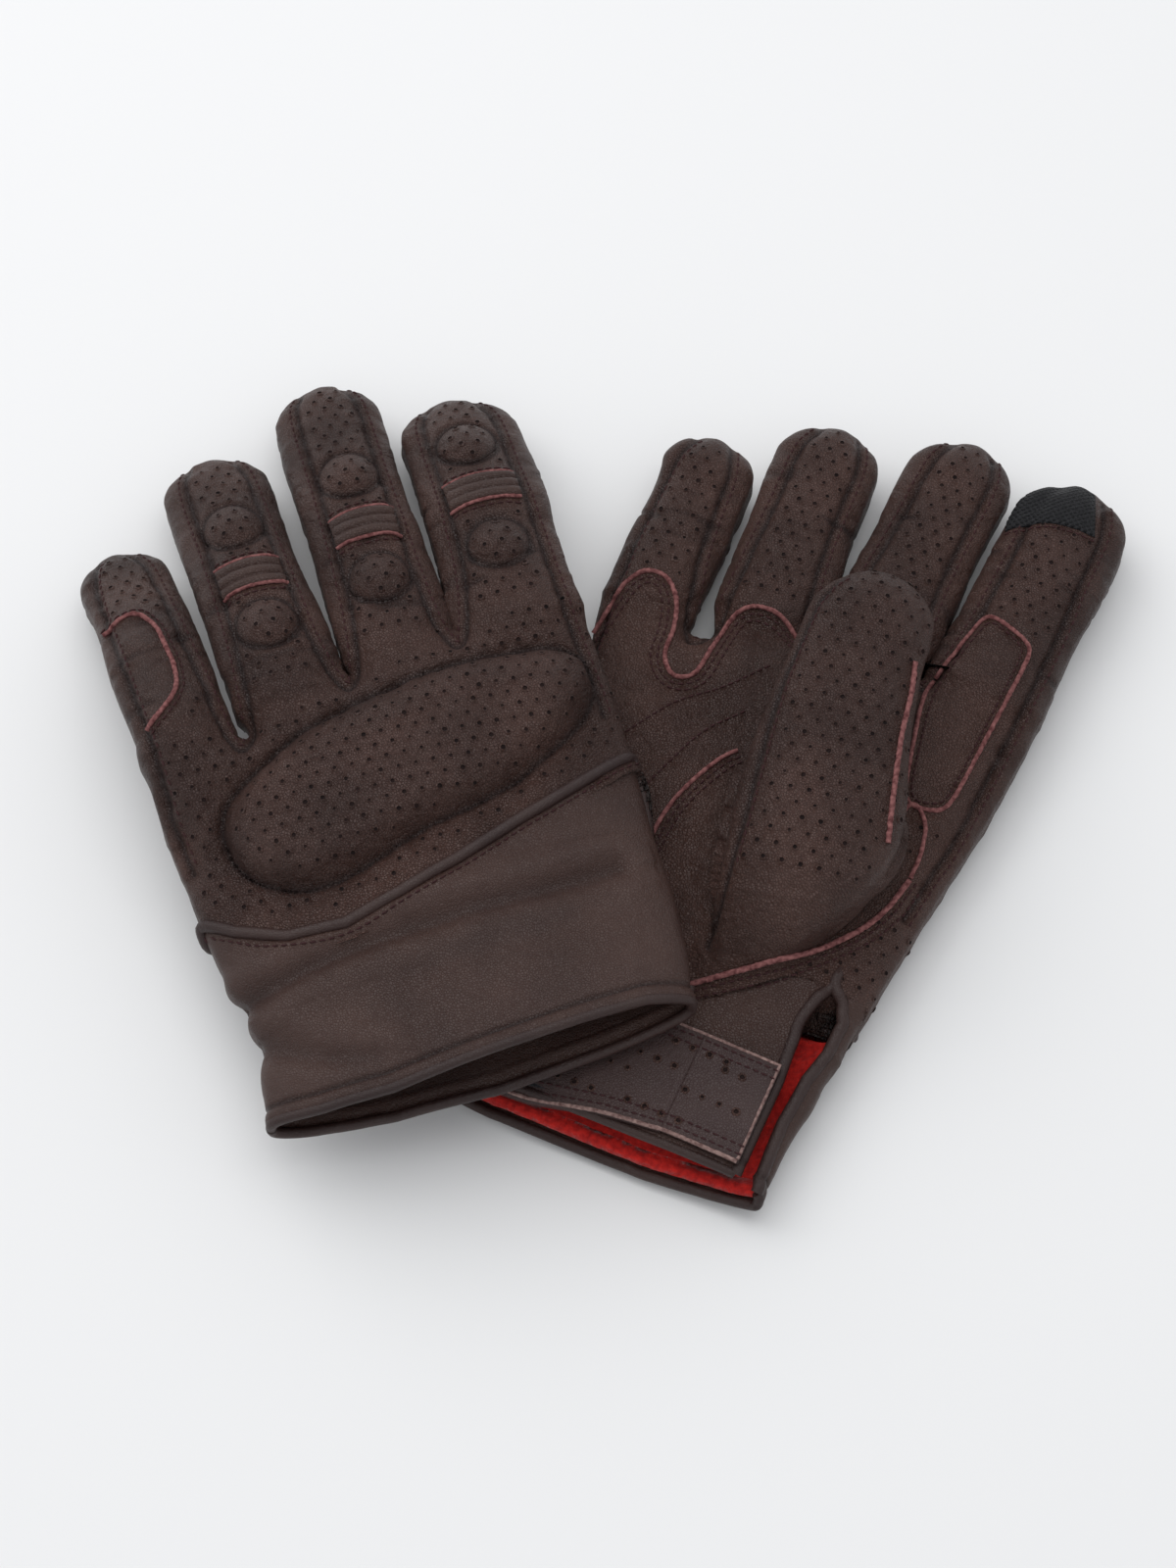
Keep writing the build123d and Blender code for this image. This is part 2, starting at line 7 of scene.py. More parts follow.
# %% The frame
import bmesh
import bpy
import json
import math
import numpy as np
import openvdb
from mathutils import Vector
from mathutils.bvhtree import BVHTree
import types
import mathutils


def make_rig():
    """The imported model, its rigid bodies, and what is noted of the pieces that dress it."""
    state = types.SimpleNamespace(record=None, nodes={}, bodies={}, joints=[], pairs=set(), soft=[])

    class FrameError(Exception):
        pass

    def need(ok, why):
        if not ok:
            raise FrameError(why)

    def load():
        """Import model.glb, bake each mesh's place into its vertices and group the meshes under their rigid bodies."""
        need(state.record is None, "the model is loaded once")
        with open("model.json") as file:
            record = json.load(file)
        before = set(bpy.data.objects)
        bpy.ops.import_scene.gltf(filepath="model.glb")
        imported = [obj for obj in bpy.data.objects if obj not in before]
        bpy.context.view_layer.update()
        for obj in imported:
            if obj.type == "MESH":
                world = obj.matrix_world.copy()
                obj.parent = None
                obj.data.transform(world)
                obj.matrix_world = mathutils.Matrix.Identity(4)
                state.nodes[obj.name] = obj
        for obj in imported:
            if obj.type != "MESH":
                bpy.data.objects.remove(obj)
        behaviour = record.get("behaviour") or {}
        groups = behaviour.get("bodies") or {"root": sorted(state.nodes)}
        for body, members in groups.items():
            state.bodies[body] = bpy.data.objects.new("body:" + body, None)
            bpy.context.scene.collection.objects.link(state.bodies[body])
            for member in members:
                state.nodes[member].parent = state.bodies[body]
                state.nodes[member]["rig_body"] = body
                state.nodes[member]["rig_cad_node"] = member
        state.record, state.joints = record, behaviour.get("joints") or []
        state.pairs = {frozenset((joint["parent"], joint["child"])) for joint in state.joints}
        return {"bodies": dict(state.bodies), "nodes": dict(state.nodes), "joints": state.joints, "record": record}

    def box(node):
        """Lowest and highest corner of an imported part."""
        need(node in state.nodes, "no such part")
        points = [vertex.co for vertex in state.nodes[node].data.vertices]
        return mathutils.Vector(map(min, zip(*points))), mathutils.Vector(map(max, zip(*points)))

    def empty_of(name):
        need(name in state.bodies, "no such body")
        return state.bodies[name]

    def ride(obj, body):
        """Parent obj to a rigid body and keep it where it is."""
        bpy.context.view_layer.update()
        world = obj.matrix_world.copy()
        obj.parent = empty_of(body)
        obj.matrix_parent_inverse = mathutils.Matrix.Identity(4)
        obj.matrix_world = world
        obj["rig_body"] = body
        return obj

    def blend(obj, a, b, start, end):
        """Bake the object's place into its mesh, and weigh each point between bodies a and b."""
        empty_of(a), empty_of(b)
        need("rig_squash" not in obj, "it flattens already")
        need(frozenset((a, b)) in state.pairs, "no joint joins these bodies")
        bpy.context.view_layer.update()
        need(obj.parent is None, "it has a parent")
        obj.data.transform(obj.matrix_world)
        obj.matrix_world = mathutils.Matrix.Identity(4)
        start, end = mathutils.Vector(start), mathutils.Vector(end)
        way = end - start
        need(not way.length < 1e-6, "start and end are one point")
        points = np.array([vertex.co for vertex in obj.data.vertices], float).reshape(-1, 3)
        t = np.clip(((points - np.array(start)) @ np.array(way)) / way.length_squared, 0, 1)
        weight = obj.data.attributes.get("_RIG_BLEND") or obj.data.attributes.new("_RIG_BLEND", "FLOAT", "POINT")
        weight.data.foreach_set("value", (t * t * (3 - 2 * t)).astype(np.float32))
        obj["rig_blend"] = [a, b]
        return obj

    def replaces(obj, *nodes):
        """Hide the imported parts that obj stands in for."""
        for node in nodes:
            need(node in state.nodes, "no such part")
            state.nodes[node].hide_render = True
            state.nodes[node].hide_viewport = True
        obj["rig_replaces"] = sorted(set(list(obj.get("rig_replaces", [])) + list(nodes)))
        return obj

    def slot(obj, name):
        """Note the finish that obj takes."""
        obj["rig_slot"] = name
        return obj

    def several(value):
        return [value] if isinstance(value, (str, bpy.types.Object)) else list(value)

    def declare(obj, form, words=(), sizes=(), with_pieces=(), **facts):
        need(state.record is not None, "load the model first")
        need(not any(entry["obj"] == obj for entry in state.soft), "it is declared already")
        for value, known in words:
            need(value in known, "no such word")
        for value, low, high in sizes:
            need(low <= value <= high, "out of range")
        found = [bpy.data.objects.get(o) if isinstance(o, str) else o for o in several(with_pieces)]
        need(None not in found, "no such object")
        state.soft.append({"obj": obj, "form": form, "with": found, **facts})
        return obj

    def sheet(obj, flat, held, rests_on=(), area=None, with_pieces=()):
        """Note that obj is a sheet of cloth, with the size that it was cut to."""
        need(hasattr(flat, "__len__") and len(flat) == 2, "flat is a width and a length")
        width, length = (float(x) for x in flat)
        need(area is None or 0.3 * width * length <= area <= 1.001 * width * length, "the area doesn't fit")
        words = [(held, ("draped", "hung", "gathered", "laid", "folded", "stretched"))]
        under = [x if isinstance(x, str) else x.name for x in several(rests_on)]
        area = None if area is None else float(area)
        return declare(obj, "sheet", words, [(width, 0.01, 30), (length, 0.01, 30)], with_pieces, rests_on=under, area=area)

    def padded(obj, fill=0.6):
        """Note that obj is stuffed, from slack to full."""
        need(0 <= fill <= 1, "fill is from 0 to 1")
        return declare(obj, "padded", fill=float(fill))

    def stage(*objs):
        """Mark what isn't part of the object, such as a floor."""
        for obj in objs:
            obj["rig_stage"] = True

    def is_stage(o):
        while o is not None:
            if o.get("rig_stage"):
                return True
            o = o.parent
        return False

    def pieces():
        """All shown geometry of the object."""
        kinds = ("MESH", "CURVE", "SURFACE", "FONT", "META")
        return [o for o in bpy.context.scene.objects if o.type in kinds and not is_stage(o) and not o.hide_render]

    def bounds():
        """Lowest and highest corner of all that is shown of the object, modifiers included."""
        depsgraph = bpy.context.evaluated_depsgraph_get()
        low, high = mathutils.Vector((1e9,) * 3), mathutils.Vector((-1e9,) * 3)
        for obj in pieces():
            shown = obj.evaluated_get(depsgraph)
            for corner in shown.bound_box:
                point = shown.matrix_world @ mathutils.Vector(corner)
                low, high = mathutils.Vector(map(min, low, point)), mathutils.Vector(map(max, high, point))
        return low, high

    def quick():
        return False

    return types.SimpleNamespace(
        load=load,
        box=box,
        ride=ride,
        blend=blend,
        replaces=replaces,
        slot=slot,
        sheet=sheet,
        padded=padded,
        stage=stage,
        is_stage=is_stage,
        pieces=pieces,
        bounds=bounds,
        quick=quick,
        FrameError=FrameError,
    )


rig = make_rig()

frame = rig.load()
cad_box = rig.bounds()
MM = 0.001
print("nodes", len(frame["nodes"]), "bodies", len(frame["bodies"]))

# %% [markdown]
# ## A frame for each glove
# A glove is easiest to shape flat: x to the index side, y to the fingertips and w from the back of
# the hand to the palm, all in millimetres. The wrist mount gives where it lies and how it is
# turned; the CAD hand gives the height of its back face. One matrix then lays it on the table.

# %% Glove frames
JOINTS = {j["name"]: j for j in frame["joints"]}
MOUNTS = {m["name"]: m for m in frame["record"]["mounts"]}
FINGERS = ("little", "ring", "middle", "index")


class Glove:
    """One glove's own frame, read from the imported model."""

    def __init__(self, name, palm_up):
        self.name = name
        self.shown = 1.0 if palm_up else -1.0       # the side that faces up, as a sign of w
        mount = MOUNTS[name + "_wrist"]
        low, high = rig.box(name + "_hand_back")
        y_axis = -np.array(mount["axis"])
        x_axis = np.array([y_axis[1], -y_axis[0], 0.0])
        self.turn = np.column_stack([x_axis, y_axis, [0.0, 0.0, self.shown]])
        origin = np.array(mount["pos_m"])
        origin[2] = low.z if palm_up else high.z
        self.origin = origin / MM

    def to_world(self, points):
        """Glove millimetres to frame metres."""
        return (np.asarray(points) @ self.turn.T + self.origin) * MM

    def to_glove(self, points):
        return (np.asarray(points) / MM - self.origin) @ self.turn

    def way(self, directions):
        return np.asarray(directions) @ self.turn.T

    def hinge(self, joint):
        return self.to_glove(np.array([JOINTS[self.name + "_" + joint]["pos_m"]]))[0]

    def node_points(self, node):
        mesh = frame["nodes"][self.name + "_" + node].data
        return self.to_glove(np.array([v.co for v in mesh.vertices]))


RIGHT = Glove("right", True)
LEFT = Glove("left", False)
GLOVES = (RIGHT, LEFT)
for glove in GLOVES:
    print(glove.name, "origin mm", np.round(glove.origin, 1))

# %% [markdown]
# ## Finger chains
# Each finger follows its CAD hinges: knuckle, middle joint and fingertip. The widths and the reach
# come from the CAD parts, so a finger of leather lies just where its rigid part does.

# %% Finger chains
HINGE_TO_CENTRE = -1.5      # mm: a hinge line lies nearer the palm than the finger's middle


def finger_chain(glove, name):
    """Centre line and half width of one finger; s runs from the knuckle to the fingertip."""
    knuckle = glove.hinge(name + "_knuckle")
    middle = glove.hinge(name + "_middle")
    tip = glove.node_points(name + "_tip")
    base = glove.node_points(name + "_base")
    along = middle[:2] - knuckle[:2]
    bend_at = np.linalg.norm(along)
    along = along / bend_at
    across = np.array([along[1], -along[0]])
    half = np.ptp(base[:, :2] @ across) / 2
    s = (tip[:, :2] - knuckle[:2]) @ along
    far = tip[s > s.max() - 8, 2]
    rows = np.array([-60.0, 0.0, bend_at, s.max() - 6, s.max() + 20])
    centre_w = [8.5, 8.5, middle[2] + HINGE_TO_CENTRE, (far.min() + far.max()) / 2]
    centre_w = np.array(centre_w + [centre_w[-1]])
    fine = np.linspace(-60, s.max() + 20, 160)
    smooth = np.convolve(np.pad(np.interp(fine, rows, centre_w), 6, "edge"), np.ones(13) / 13, "valid")
    return dict(knuckle=knuckle[:2], along=along, across=across, half=half, reach=s.max(),
                bend_at=bend_at, rows=fine, centre_w=smooth)


for glove in GLOVES:
    glove.chain = {name: finger_chain(glove, name) for name in FINGERS}
    for name, chain in glove.chain.items():
        print(glove.name, name, "half width", round(chain["half"], 1), "reach", round(chain["reach"], 1))

# %% [markdown]
# ## The hand as a field
# A sewn glove has no sharp joins: fingers grow out of the hand and panels swell between seams. A
# signed distance field says this well. The hand is a long rounded section whose edges follow the
# CAD outline, each finger is a rounded section with a domed tip, and a smooth minimum grows one out
# of the other. The numbers below are the design's own: thicknesses, softness and drape.

# %% Field helpers
def merge(a, b, soft):
    """Smooth minimum: two distances joined with a fillet."""
    h = np.clip(0.5 + 0.5 * (b - a) / soft, 0, 1)
    return b * (1 - h) + a * h - soft * h * (1 - h)


def ramp(x, low, high):
    t = np.clip((x - low) / (high - low), 0, 1)
    return t * t * (3 - 2 * t)


def section(across, depth, half, thick, power, past=0.0, cap=1.0):
    """Distance to a rounded section; past/cap closes its end with a dome."""
    u, v = np.abs(across) / half, np.abs(depth) / thick
    q = np.maximum((u ** power + v ** power) ** (1 / power), 0.05)
    f = np.sqrt(q * q + (past / cap) ** 2)
    slope = q ** (1 - power) * np.hypot(u ** (power - 1) / half, v ** (power - 1) / thick)
    slope = np.hypot(slope * q / f, past / cap ** 2 / f)
    return (f - 1) / np.maximum(slope, 0.015)


def soft_noise(points, size, seed):
    """Smooth noise from -1 to 1, with features of the given size in millimetres."""
    table = np.random.default_rng(seed).uniform(-1, 1, (32, 32, 32))
    p = np.asarray(points) / size
    cell = np.floor(p).astype(int)
    part = p - cell
    part = part * part * (3 - 2 * part)
    total = np.zeros(len(p))
    for corner in np.ndindex(2, 2, 2):
        weight = np.prod(np.where(corner, part, 1 - part), axis=1)
        i, j, k = ((cell + corner) % 32).T
        total += weight * table[i, j, k]
    return total


def swells(points, *amounts):
    """Slow noise of three sizes, from broad to small."""
    sizes = ((17, 5), (8, 6), (3.6, 7))
    return sum(amount * soft_noise(points, size, seed) for amount, (size, seed) in zip(amounts, sizes))


def bell(x, width):
    return np.exp(-(x / width) ** 2)


# %% Hand outlines from the CAD
def outline_rows(glove):
    """Left and right edge of the CAD hand and cuff at rows along the glove."""
    found = []
    for node in ("hand_back", "cuff"):
        mesh = frame["nodes"][glove.name + "_" + node].data
        points = glove.node_points(node)
        edges = np.array([e.vertices[:] for e in mesh.edges])
        found.append((points[edges[:, 0]], points[edges[:, 1]]))
    start = np.vstack([f[0] for f in found])
    end = np.vstack([f[1] for f in found])
    rows = np.arange(1.0, 140.0, 3.0)
    left, right, kept = [], [], []
    for y in rows:
        cross = (start[:, 1] - y) * (end[:, 1] - y) < 0
        if not cross.any():
            continue
        t = (y - start[cross, 1]) / (end[cross, 1] - start[cross, 1])
        x = start[cross, 0] + t * (end[cross, 0] - start[cross, 0])
        kept.append(y), left.append(x.min()), right.append(x.max())
    soften = np.ones(5) / 5
    left = np.convolve(np.pad(left, 2, "edge"), soften, "valid")
    right = np.convolve(np.pad(right, 2, "edge"), soften, "valid")
    return np.array(kept), left, right


CROTCHES = {
    "right": [(-60, 139), (-26, 136), (2, 146), (32, 146.5), (64, 148)],
    "left": [(-66, 103), (-38, 95.5), (-9.3, 106), (19.5, 111.5), (56, 121)],
}
HALF_THICK = {"right": [(0, 6.2), (40, 6.8), (62, 8.6), (150, 8.8)],
              "left": [(0, 8.4), (38, 7.4), (62, 8.8), (150, 8.8)]}
for glove in GLOVES:
    glove.rows, glove.left_edge, glove.right_edge = outline_rows(glove)
    glove.crotches = np.array(CROTCHES[glove.name], float)
    glove.thick = np.array(HALF_THICK[glove.name], float)
    print(glove.name, "edges at y=60:", round(float(np.interp(60, glove.rows, glove.left_edge)), 1),
          round(float(np.interp(60, glove.rows, glove.right_edge)), 1))


# %% The two gloves' fields
def drape(glove, x, y):
    """The left hand sags to the table where the right glove doesn't hold it up."""
    if glove is RIGHT:
        return np.zeros_like(x)
    return 9.0 * ramp(x, 5, -62) * ramp(y, 104, 60)


def hand_profile(glove, x, y):
    """Middle x, half width and half thickness of the hand at a point."""
    left = np.interp(y, glove.rows, glove.left_edge)
    right = np.interp(y, glove.rows, glove.right_edge)
    thick = np.interp(y, glove.thick[:, 0], glove.thick[:, 1])
    return (left + right) / 2, (right - left) / 2, thick


def middle_w(glove, x, y):
    """Height of the hand's middle: it changes towards the wrist and sags with the drape."""
    return np.interp(y, [0, 62], [glove.thick[0, 1], 8.5]) + drape(glove, x, y)


def slab(glove, p):
    """The hand and the cuff below it, as one rounded slab that ends at the crotches."""
    x, y, w = p.T
    middle, half, thick = hand_profile(glove, x, y)
    side = section(x - middle, w - middle_w(glove, x, y), half, thick, 3.0)
    top = y - np.interp(x, glove.crotches[:, 0], glove.crotches[:, 1])
    return -merge(-side, -top, 9.0)


FILLET = 5.0        # mm, how softly a finger grows out of the hand


def finger(chain, p):
    flat = p[:, :2] - chain["knuckle"]
    s, t = flat @ chain["along"], flat @ chain["across"]
    reach, half = chain["reach"], chain["half"]
    cap = half * 0.92
    share = np.clip(s / reach, -0.3, 1)
    wide = half * (1.055 - 0.055 * share + 0.02 * np.sin(share * 9.0 + half))
    thick = 8.5 - 1.0 * np.clip(share, 0, 1)
    swing = 0.6 * np.sin(share * 4.0 + 2 * half)
    centre = np.interp(s, chain["rows"], chain["centre_w"])
    past = np.maximum(s - (reach - cap), 0)
    body = section(t - swing, p[:, 2] - centre, wide, thick, 2.45, past, cap)
    body = body + 0.4 * np.clip(-10.0 - s, 0, 30)      # the root runs out inside the hand
    return np.maximum(body, -(s + 34.0))


THUMB_FOOT = np.array([(0, 36), (12, 42.5), (20, 48), (27, 53.8), (33, 60.5), (38, 67.6), (42.5, 75), (45.5, 82),
                       (48, 94), (50, 102), (56, 190)], float)      # where the thumb panel is sewn to the heel


def thumb(glove, p):
    """The thumb: the right one lies over the palm, the left one is tucked under it."""
    path, half, thick = glove.thumb_path, glove.thumb_half, glove.thumb_thick
    best = np.full(len(p), 1e3)
    length = np.concatenate([[0], np.cumsum(np.linalg.norm(np.diff(path, axis=0), axis=1))])
    near, side, up = np.zeros((3, len(p)))
    for i in range(len(path) - 1):
        a, b = path[i], path[i + 1]
        step = b - a
        t = np.clip(((p[:, :2] - a[:2]) @ step[:2]) / (step[:2] @ step[:2]), 0, 1)
        foot = a + t[:, None] * step
        gap = np.linalg.norm(p[:, :2] - foot[:, :2], axis=1)
        closer = gap < best
        best = np.where(closer, gap, best)
        near = np.where(closer, length[i] + t * (length[i + 1] - length[i]), near)
        side = np.where(closer, gap, side)
        up = np.where(closer, p[:, 2] - foot[:, 2], up)
    wide = np.interp(near, length, half)
    deep = np.interp(near, length, thick)
    body = section(side, up, wide, deep, 2.6)
    if glove is RIGHT:
        below = (np.interp(p[:, 0], THUMB_FOOT[:, 0], THUMB_FOOT[:, 1]) - p[:, 1]) * 0.7
        body = -merge(-body, -below, 7.0)
    return body


def spline(points, count):
    """Catmull-Rom curve through the points, evenly spaced."""
    p = np.asarray(points, float)
    p = np.vstack([2 * p[0] - p[1], p, 2 * p[-1] - p[-2]])
    out = []
    for i in range(1, len(p) - 2):
        t = np.linspace(0, 1, 24, endpoint=False)[:, None]
        a, b, c, d = p[i - 1], p[i], p[i + 1], p[i + 2]
        out.append(0.5 * (2 * b + (c - a) * t + (2 * a - 5 * b + 4 * c - d) * t ** 2
                          + (3 * b - a - 3 * c + d) * t ** 3))
    out = np.vstack(out + [p[-2:-1]])
    dist = np.concatenate([[0], np.cumsum(np.linalg.norm(np.diff(out, axis=0), axis=1))])
    at = np.linspace(0, dist[-1], count)
    return np.column_stack([np.interp(at, dist, out[:, k]) for k in range(p.shape[1])])


THUMBS = {      # x, y, w, half width, half thickness, from the root to the tip
    "right": [(33, 36, 4, 14, 6), (32.5, 46, 9, 17, 7), (31, 58, 16.5, 19, 8), (29, 69, 23.2, 20, 8.4),
              (27.3, 80, 26.8, 20.6, 8.4), (23.8, 97, 28, 20.5, 8.4), (19.8, 118, 30, 18.2, 8.0),
              (17.4, 136, 31.5, 16.6, 7.8), (16.6, 143.5, 32, 16.2, 7.4)],
    "left": [(43, 62, 9, 13, 6), (37, 69, 14, 14.5, 6), (29, 76, 20.5, 15, 5.4), (22, 80.5, 23.6, 15, 5.2),
             (8, 90, 23.8, 15, 5.2), (0, 95.5, 23.8, 14.5, 5.0)],
}
for glove in GLOVES:
    line = spline(THUMBS[glove.name], 16)
    glove.thumb_path, glove.thumb_half, glove.thumb_thick = line[:, :3], line[:, 3], line[:, 4]


def thumb_past(glove, p):
    """How far a point lies past the thumb's hinge line."""
    hinge = glove.hinge("thumb_lift" if glove is RIGHT else "thumb_swing")[:2]
    way = glove.thumb_path[-1, :2] - glove.thumb_path[6, :2]
    return (p[:, :2] - hinge) @ (way / np.linalg.norm(way))


def hand_field(glove, p):
    """The whole glove but for the fingers' own halves: slab, finger roots and thumb."""
    value = slab(glove, p)
    whole = value
    for chain in glove.chain.values():
        whole = np.minimum(whole, merge(value, finger(chain, p), FILLET))
    soft = np.interp(thumb_past(glove, p), [-34, -9], [9.0, 0.4])
    return merge(whole, thumb(glove, p), soft)


def finger_field(glove, name, p):
    return merge(slab(glove, p), finger(glove.chain[name], p), FILLET)


print("fields ready")

# %% [markdown]
# ## From field to skin
# openvdb turns the zero level of a field into quads. Every piece of a glove is meshed on the same
# grid, so where two pieces have the same field they share their points, and a skin that is later
# split at a finger root still meets itself exactly. Two Newton steps pull each point onto the field,
# and the field's gradient gives its normal.

# %% Meshing
CELL = 1.1 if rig.quick() else 0.7      # mm, the grid that all skins share


def gradient(field, p, h=0.3):
    columns = []
    for k in range(3):
        step = np.zeros(3)
        step[k] = h
        columns.append((field(p + step) - field(p - step)) / (2 * h))
    return np.column_stack(columns)


def skin_of(field, low, high):
    """Points, quads and outward normals of a field's surface, in glove millimetres."""
    start = np.floor(np.array(low) / CELL).astype(int)
    count = np.ceil(np.array(high) / CELL).astype(int) - start + 1
    axes = [(start[i] + np.arange(count[i])) * CELL for i in range(3)]
    lattice = np.stack(np.meshgrid(*axes, indexing="ij"), axis=-1).reshape(-1, 3)
    values = np.concatenate([field(part) for part in np.array_split(lattice, 12)]).reshape(count)
    grid = openvdb.FloatGrid(3.0 * CELL)
    grid.copyFromArray(np.clip(values, -3 * CELL, 3 * CELL).astype(np.float32))
    points, quads = grid.convertToQuads(isovalue=0.0)
    points = (np.asarray(points, float) + start) * CELL
    quads = np.asarray(quads, dtype=np.int64)
    for _ in range(2):
        slope = gradient(field, points)
        size = np.maximum((slope ** 2).sum(axis=1), 0.05)
        shift = slope * (field(points) / size)[:, None]
        reach = np.maximum(np.linalg.norm(shift, axis=1) / (0.5 * CELL), 1)
        points = points - shift / reach[:, None]
    slope = gradient(field, points)
    normals = slope / np.maximum(np.linalg.norm(slope, axis=1), 1e-6)[:, None]
    corner = points[quads]
    facing = np.cross(corner[:, 2] - corner[:, 0], corner[:, 3] - corner[:, 1])
    if (facing * normals[quads[:, 0]]).sum() < 0:
        quads = quads[:, ::-1]
    return points, quads, normals


class Skin:
    """One layer of leather over a field, before it is divided between bodies."""

    def __init__(self, glove, name, field, low, high):
        self.glove, self.name = glove, name
        self.points, self.quads, self.normals = skin_of(field, low, high)
        self.tones = {}


skins = {}
for glove in GLOVES:
    skins[glove.name, "hand"] = Skin(glove, "hand", lambda p, g=glove: hand_field(g, p),
                                     (-70, 20, -4), (72, 160, 45))
    for name, chain in glove.chain.items():
        ends = np.array([chain["knuckle"] + chain["along"] * s for s in (-26.0, chain["reach"])])
        low = ends.min(axis=0) - chain["half"] - 5
        high = ends.max(axis=0) + chain["half"] + 5
        deep = chain["centre_w"].max() + 12
        skins[glove.name, name] = Skin(glove, name, lambda p, g=glove, n=name: finger_field(g, n, p),
                                       (*low, -4), (*high, deep))
for (hand, name), skin in skins.items():
    print(hand, name, "points", len(skin.points))

# %% [markdown]
# ## Seams, swells and creases
# The panels of a glove are sewn with the edges turned in, so a seam is a narrow valley and the
# leather swells between valleys. Each seam is a curve in plan on one side of the glove. A point's
# distance to the nearest seam sets how deep it sinks and how much the leather puckers beside it.

# %% Seam curves
def at_finger(glove, name, *pairs):
    """Plan points from (share of the half width, distance past the knuckle)."""
    c = glove.chain[name]
    return [tuple(c["knuckle"] + c["along"] * s + c["across"] * (t * c["half"])) for t, s in pairs]


def between(glove, first, second, crotch, edge=0.6):
    """The U-shaped side strip seam: down one finger, round the crotch and up the next."""
    x, y = crotch
    a, b = glove.chain[first]["reach"], glove.chain[second]["reach"]
    down = at_finger(glove, first, (0.40, a - 2.5), (edge, a - 12), (edge + 0.02, a * 0.5), (edge + 0.08, 6))
    up = at_finger(glove, second, (-edge - 0.08, 6), (-edge - 0.02, b * 0.5), (-edge, b - 12), (-0.40, b - 2.5))
    return spline(down + [(x - 2.8, y + 0.5), (x + 0.2, y - 4.8), (x + 3.2, y + 1.0)] + up, 150)


CROTCH_AT = {"right": [(-26, 138), (2, 148), (32, 148)], "left": [(-38, 96.5), (-9.3, 107.3), (19.5, 112.8)]}


def finger_seams(glove):
    """Panel seams of one side of the fingers, the same on the back and on the palm."""
    pairs = zip(FINGERS[:-1], FINGERS[1:], CROTCH_AT[glove.name])
    found = [between(glove, a, b, c) for a, b, c in pairs]
    reach = glove.chain["index"]["reach"]
    outer = at_finger(glove, "index", (0.40, reach - 2.5), (0.62, reach - 13), (0.66, reach * 0.5), (0.72, 4))
    edge = [(np.interp(y, glove.rows, glove.right_edge) - 4, y) for y in (112, 95, 82)]
    found.append(spline(outer + edge, 120))
    reach = glove.chain["little"]["reach"]
    outer = at_finger(glove, "little", (-0.40, reach - 2.5), (-0.66, reach - 12), (-0.78, reach * 0.5), (-0.84, 2))
    edge = [(np.interp(y, glove.rows, glove.left_edge) + 2.5, y) for y in (92, 78, 66)]
    found.append(spline(outer + edge, 120))
    return found


def closed_curve(ring):
    """A smooth closed curve: every corner is cut again and again."""
    ring = np.asarray(ring, float)
    for _ in range(4):
        after = np.roll(ring, -1, axis=0)
        ring = np.stack([ring * 0.75 + after * 0.25, ring * 0.25 + after * 0.75], axis=1).reshape(-1, 2)
    return np.vstack([ring, ring[:1]])


GUARD = closed_curve([(-47, 74), (-44, 80), (-34, 86), (-24, 92.5), (-11, 96.5), (7.5, 101.5), (23, 103), (40, 103.4),
                      (50, 100), (51, 90), (45.6, 80.5), (35, 73), (24, 66), (10.5, 62), (-1, 59), (-15, 53.5),
                      (-27, 51), (-39, 56), (-46, 64)])
PALM_PATCH = [(-60, 112), (-51, 124.5), (-49, 136), (-47, 142.5), (-43.7, 145.9), (-38.6, 146), (-34, 141.5),
              (-31.2, 133), (-30, 125), (-25.5, 120.5), (-21, 123), (-19.9, 132), (-19.5, 142), (-16.4, 147),
              (-10.4, 148.2), (-4, 146), (4, 138), (6, 120)]      # the top edge of the right palm's patch
PATCH_LOW = spline([(-2, 107), (-4.6, 104), (-8, 97), (-11, 88), (-12.2, 80), (-12.4, 70), (-12.6, 62)], 60)
INDEX_PATCH = closed_curve([(33.5, 143), (36, 154), (39, 167), (41, 170), (46, 168.5), (53, 166), (54.6, 163),
                            (54, 150), (53, 138.5), (52.4, 124), (51.4, 114), (49, 111.5), (43, 110),
                            (40, 113), (38, 122)])
THUMB_SEAM = spline([(6.5, 154), (2.8, 146), (2.6, 136), (3.6, 118), (6.6, 97), (9.4, 79), (11.4, 60), (12, 47)], 90)
THUMB_BASE = spline([(12, 43.5), (20, 49), (27, 54.8), (33, 61.5), (38, 68.6), (42.5, 76), (45.3, 83), (47, 94),
                     (49.5, 102)], 90)
seams = {("left", "back"): finger_seams(LEFT) + [GUARD], ("left", "palm"): finger_seams(LEFT),
         ("right", "back"): finger_seams(RIGHT), ("right", "palm"): finger_seams(RIGHT)}
HUMPS = [(-28, 70, 15, 1.6), (0, 81, 15, 1.2), (33, 90, 14, 1.5)]      # x, y, size and height: swells of the guard
print("seams", sum(len(lines) for lines in seams.values()))


# %% Distances in plan
def gap_to(points, line):
    """Distance in plan from each point to a polyline."""
    a, b = line[:-1], line[1:]
    step = b - a
    size = (step ** 2).sum(axis=1)
    best = np.full(len(points), 1e3)
    box_low, box_high = line.min(axis=0) - 9, line.max(axis=0) + 9
    near = np.flatnonzero(((points > box_low) & (points < box_high)).all(axis=1))
    for part in np.array_split(near, max(1, len(near) // 4000)):
        p = points[part][:, None, :]
        t = np.clip(((p - a) * step).sum(axis=2) / size, 0, 1)
        best[part] = np.sqrt(((p - a - t[..., None] * step) ** 2).sum(axis=2)).min(axis=1)
    return best


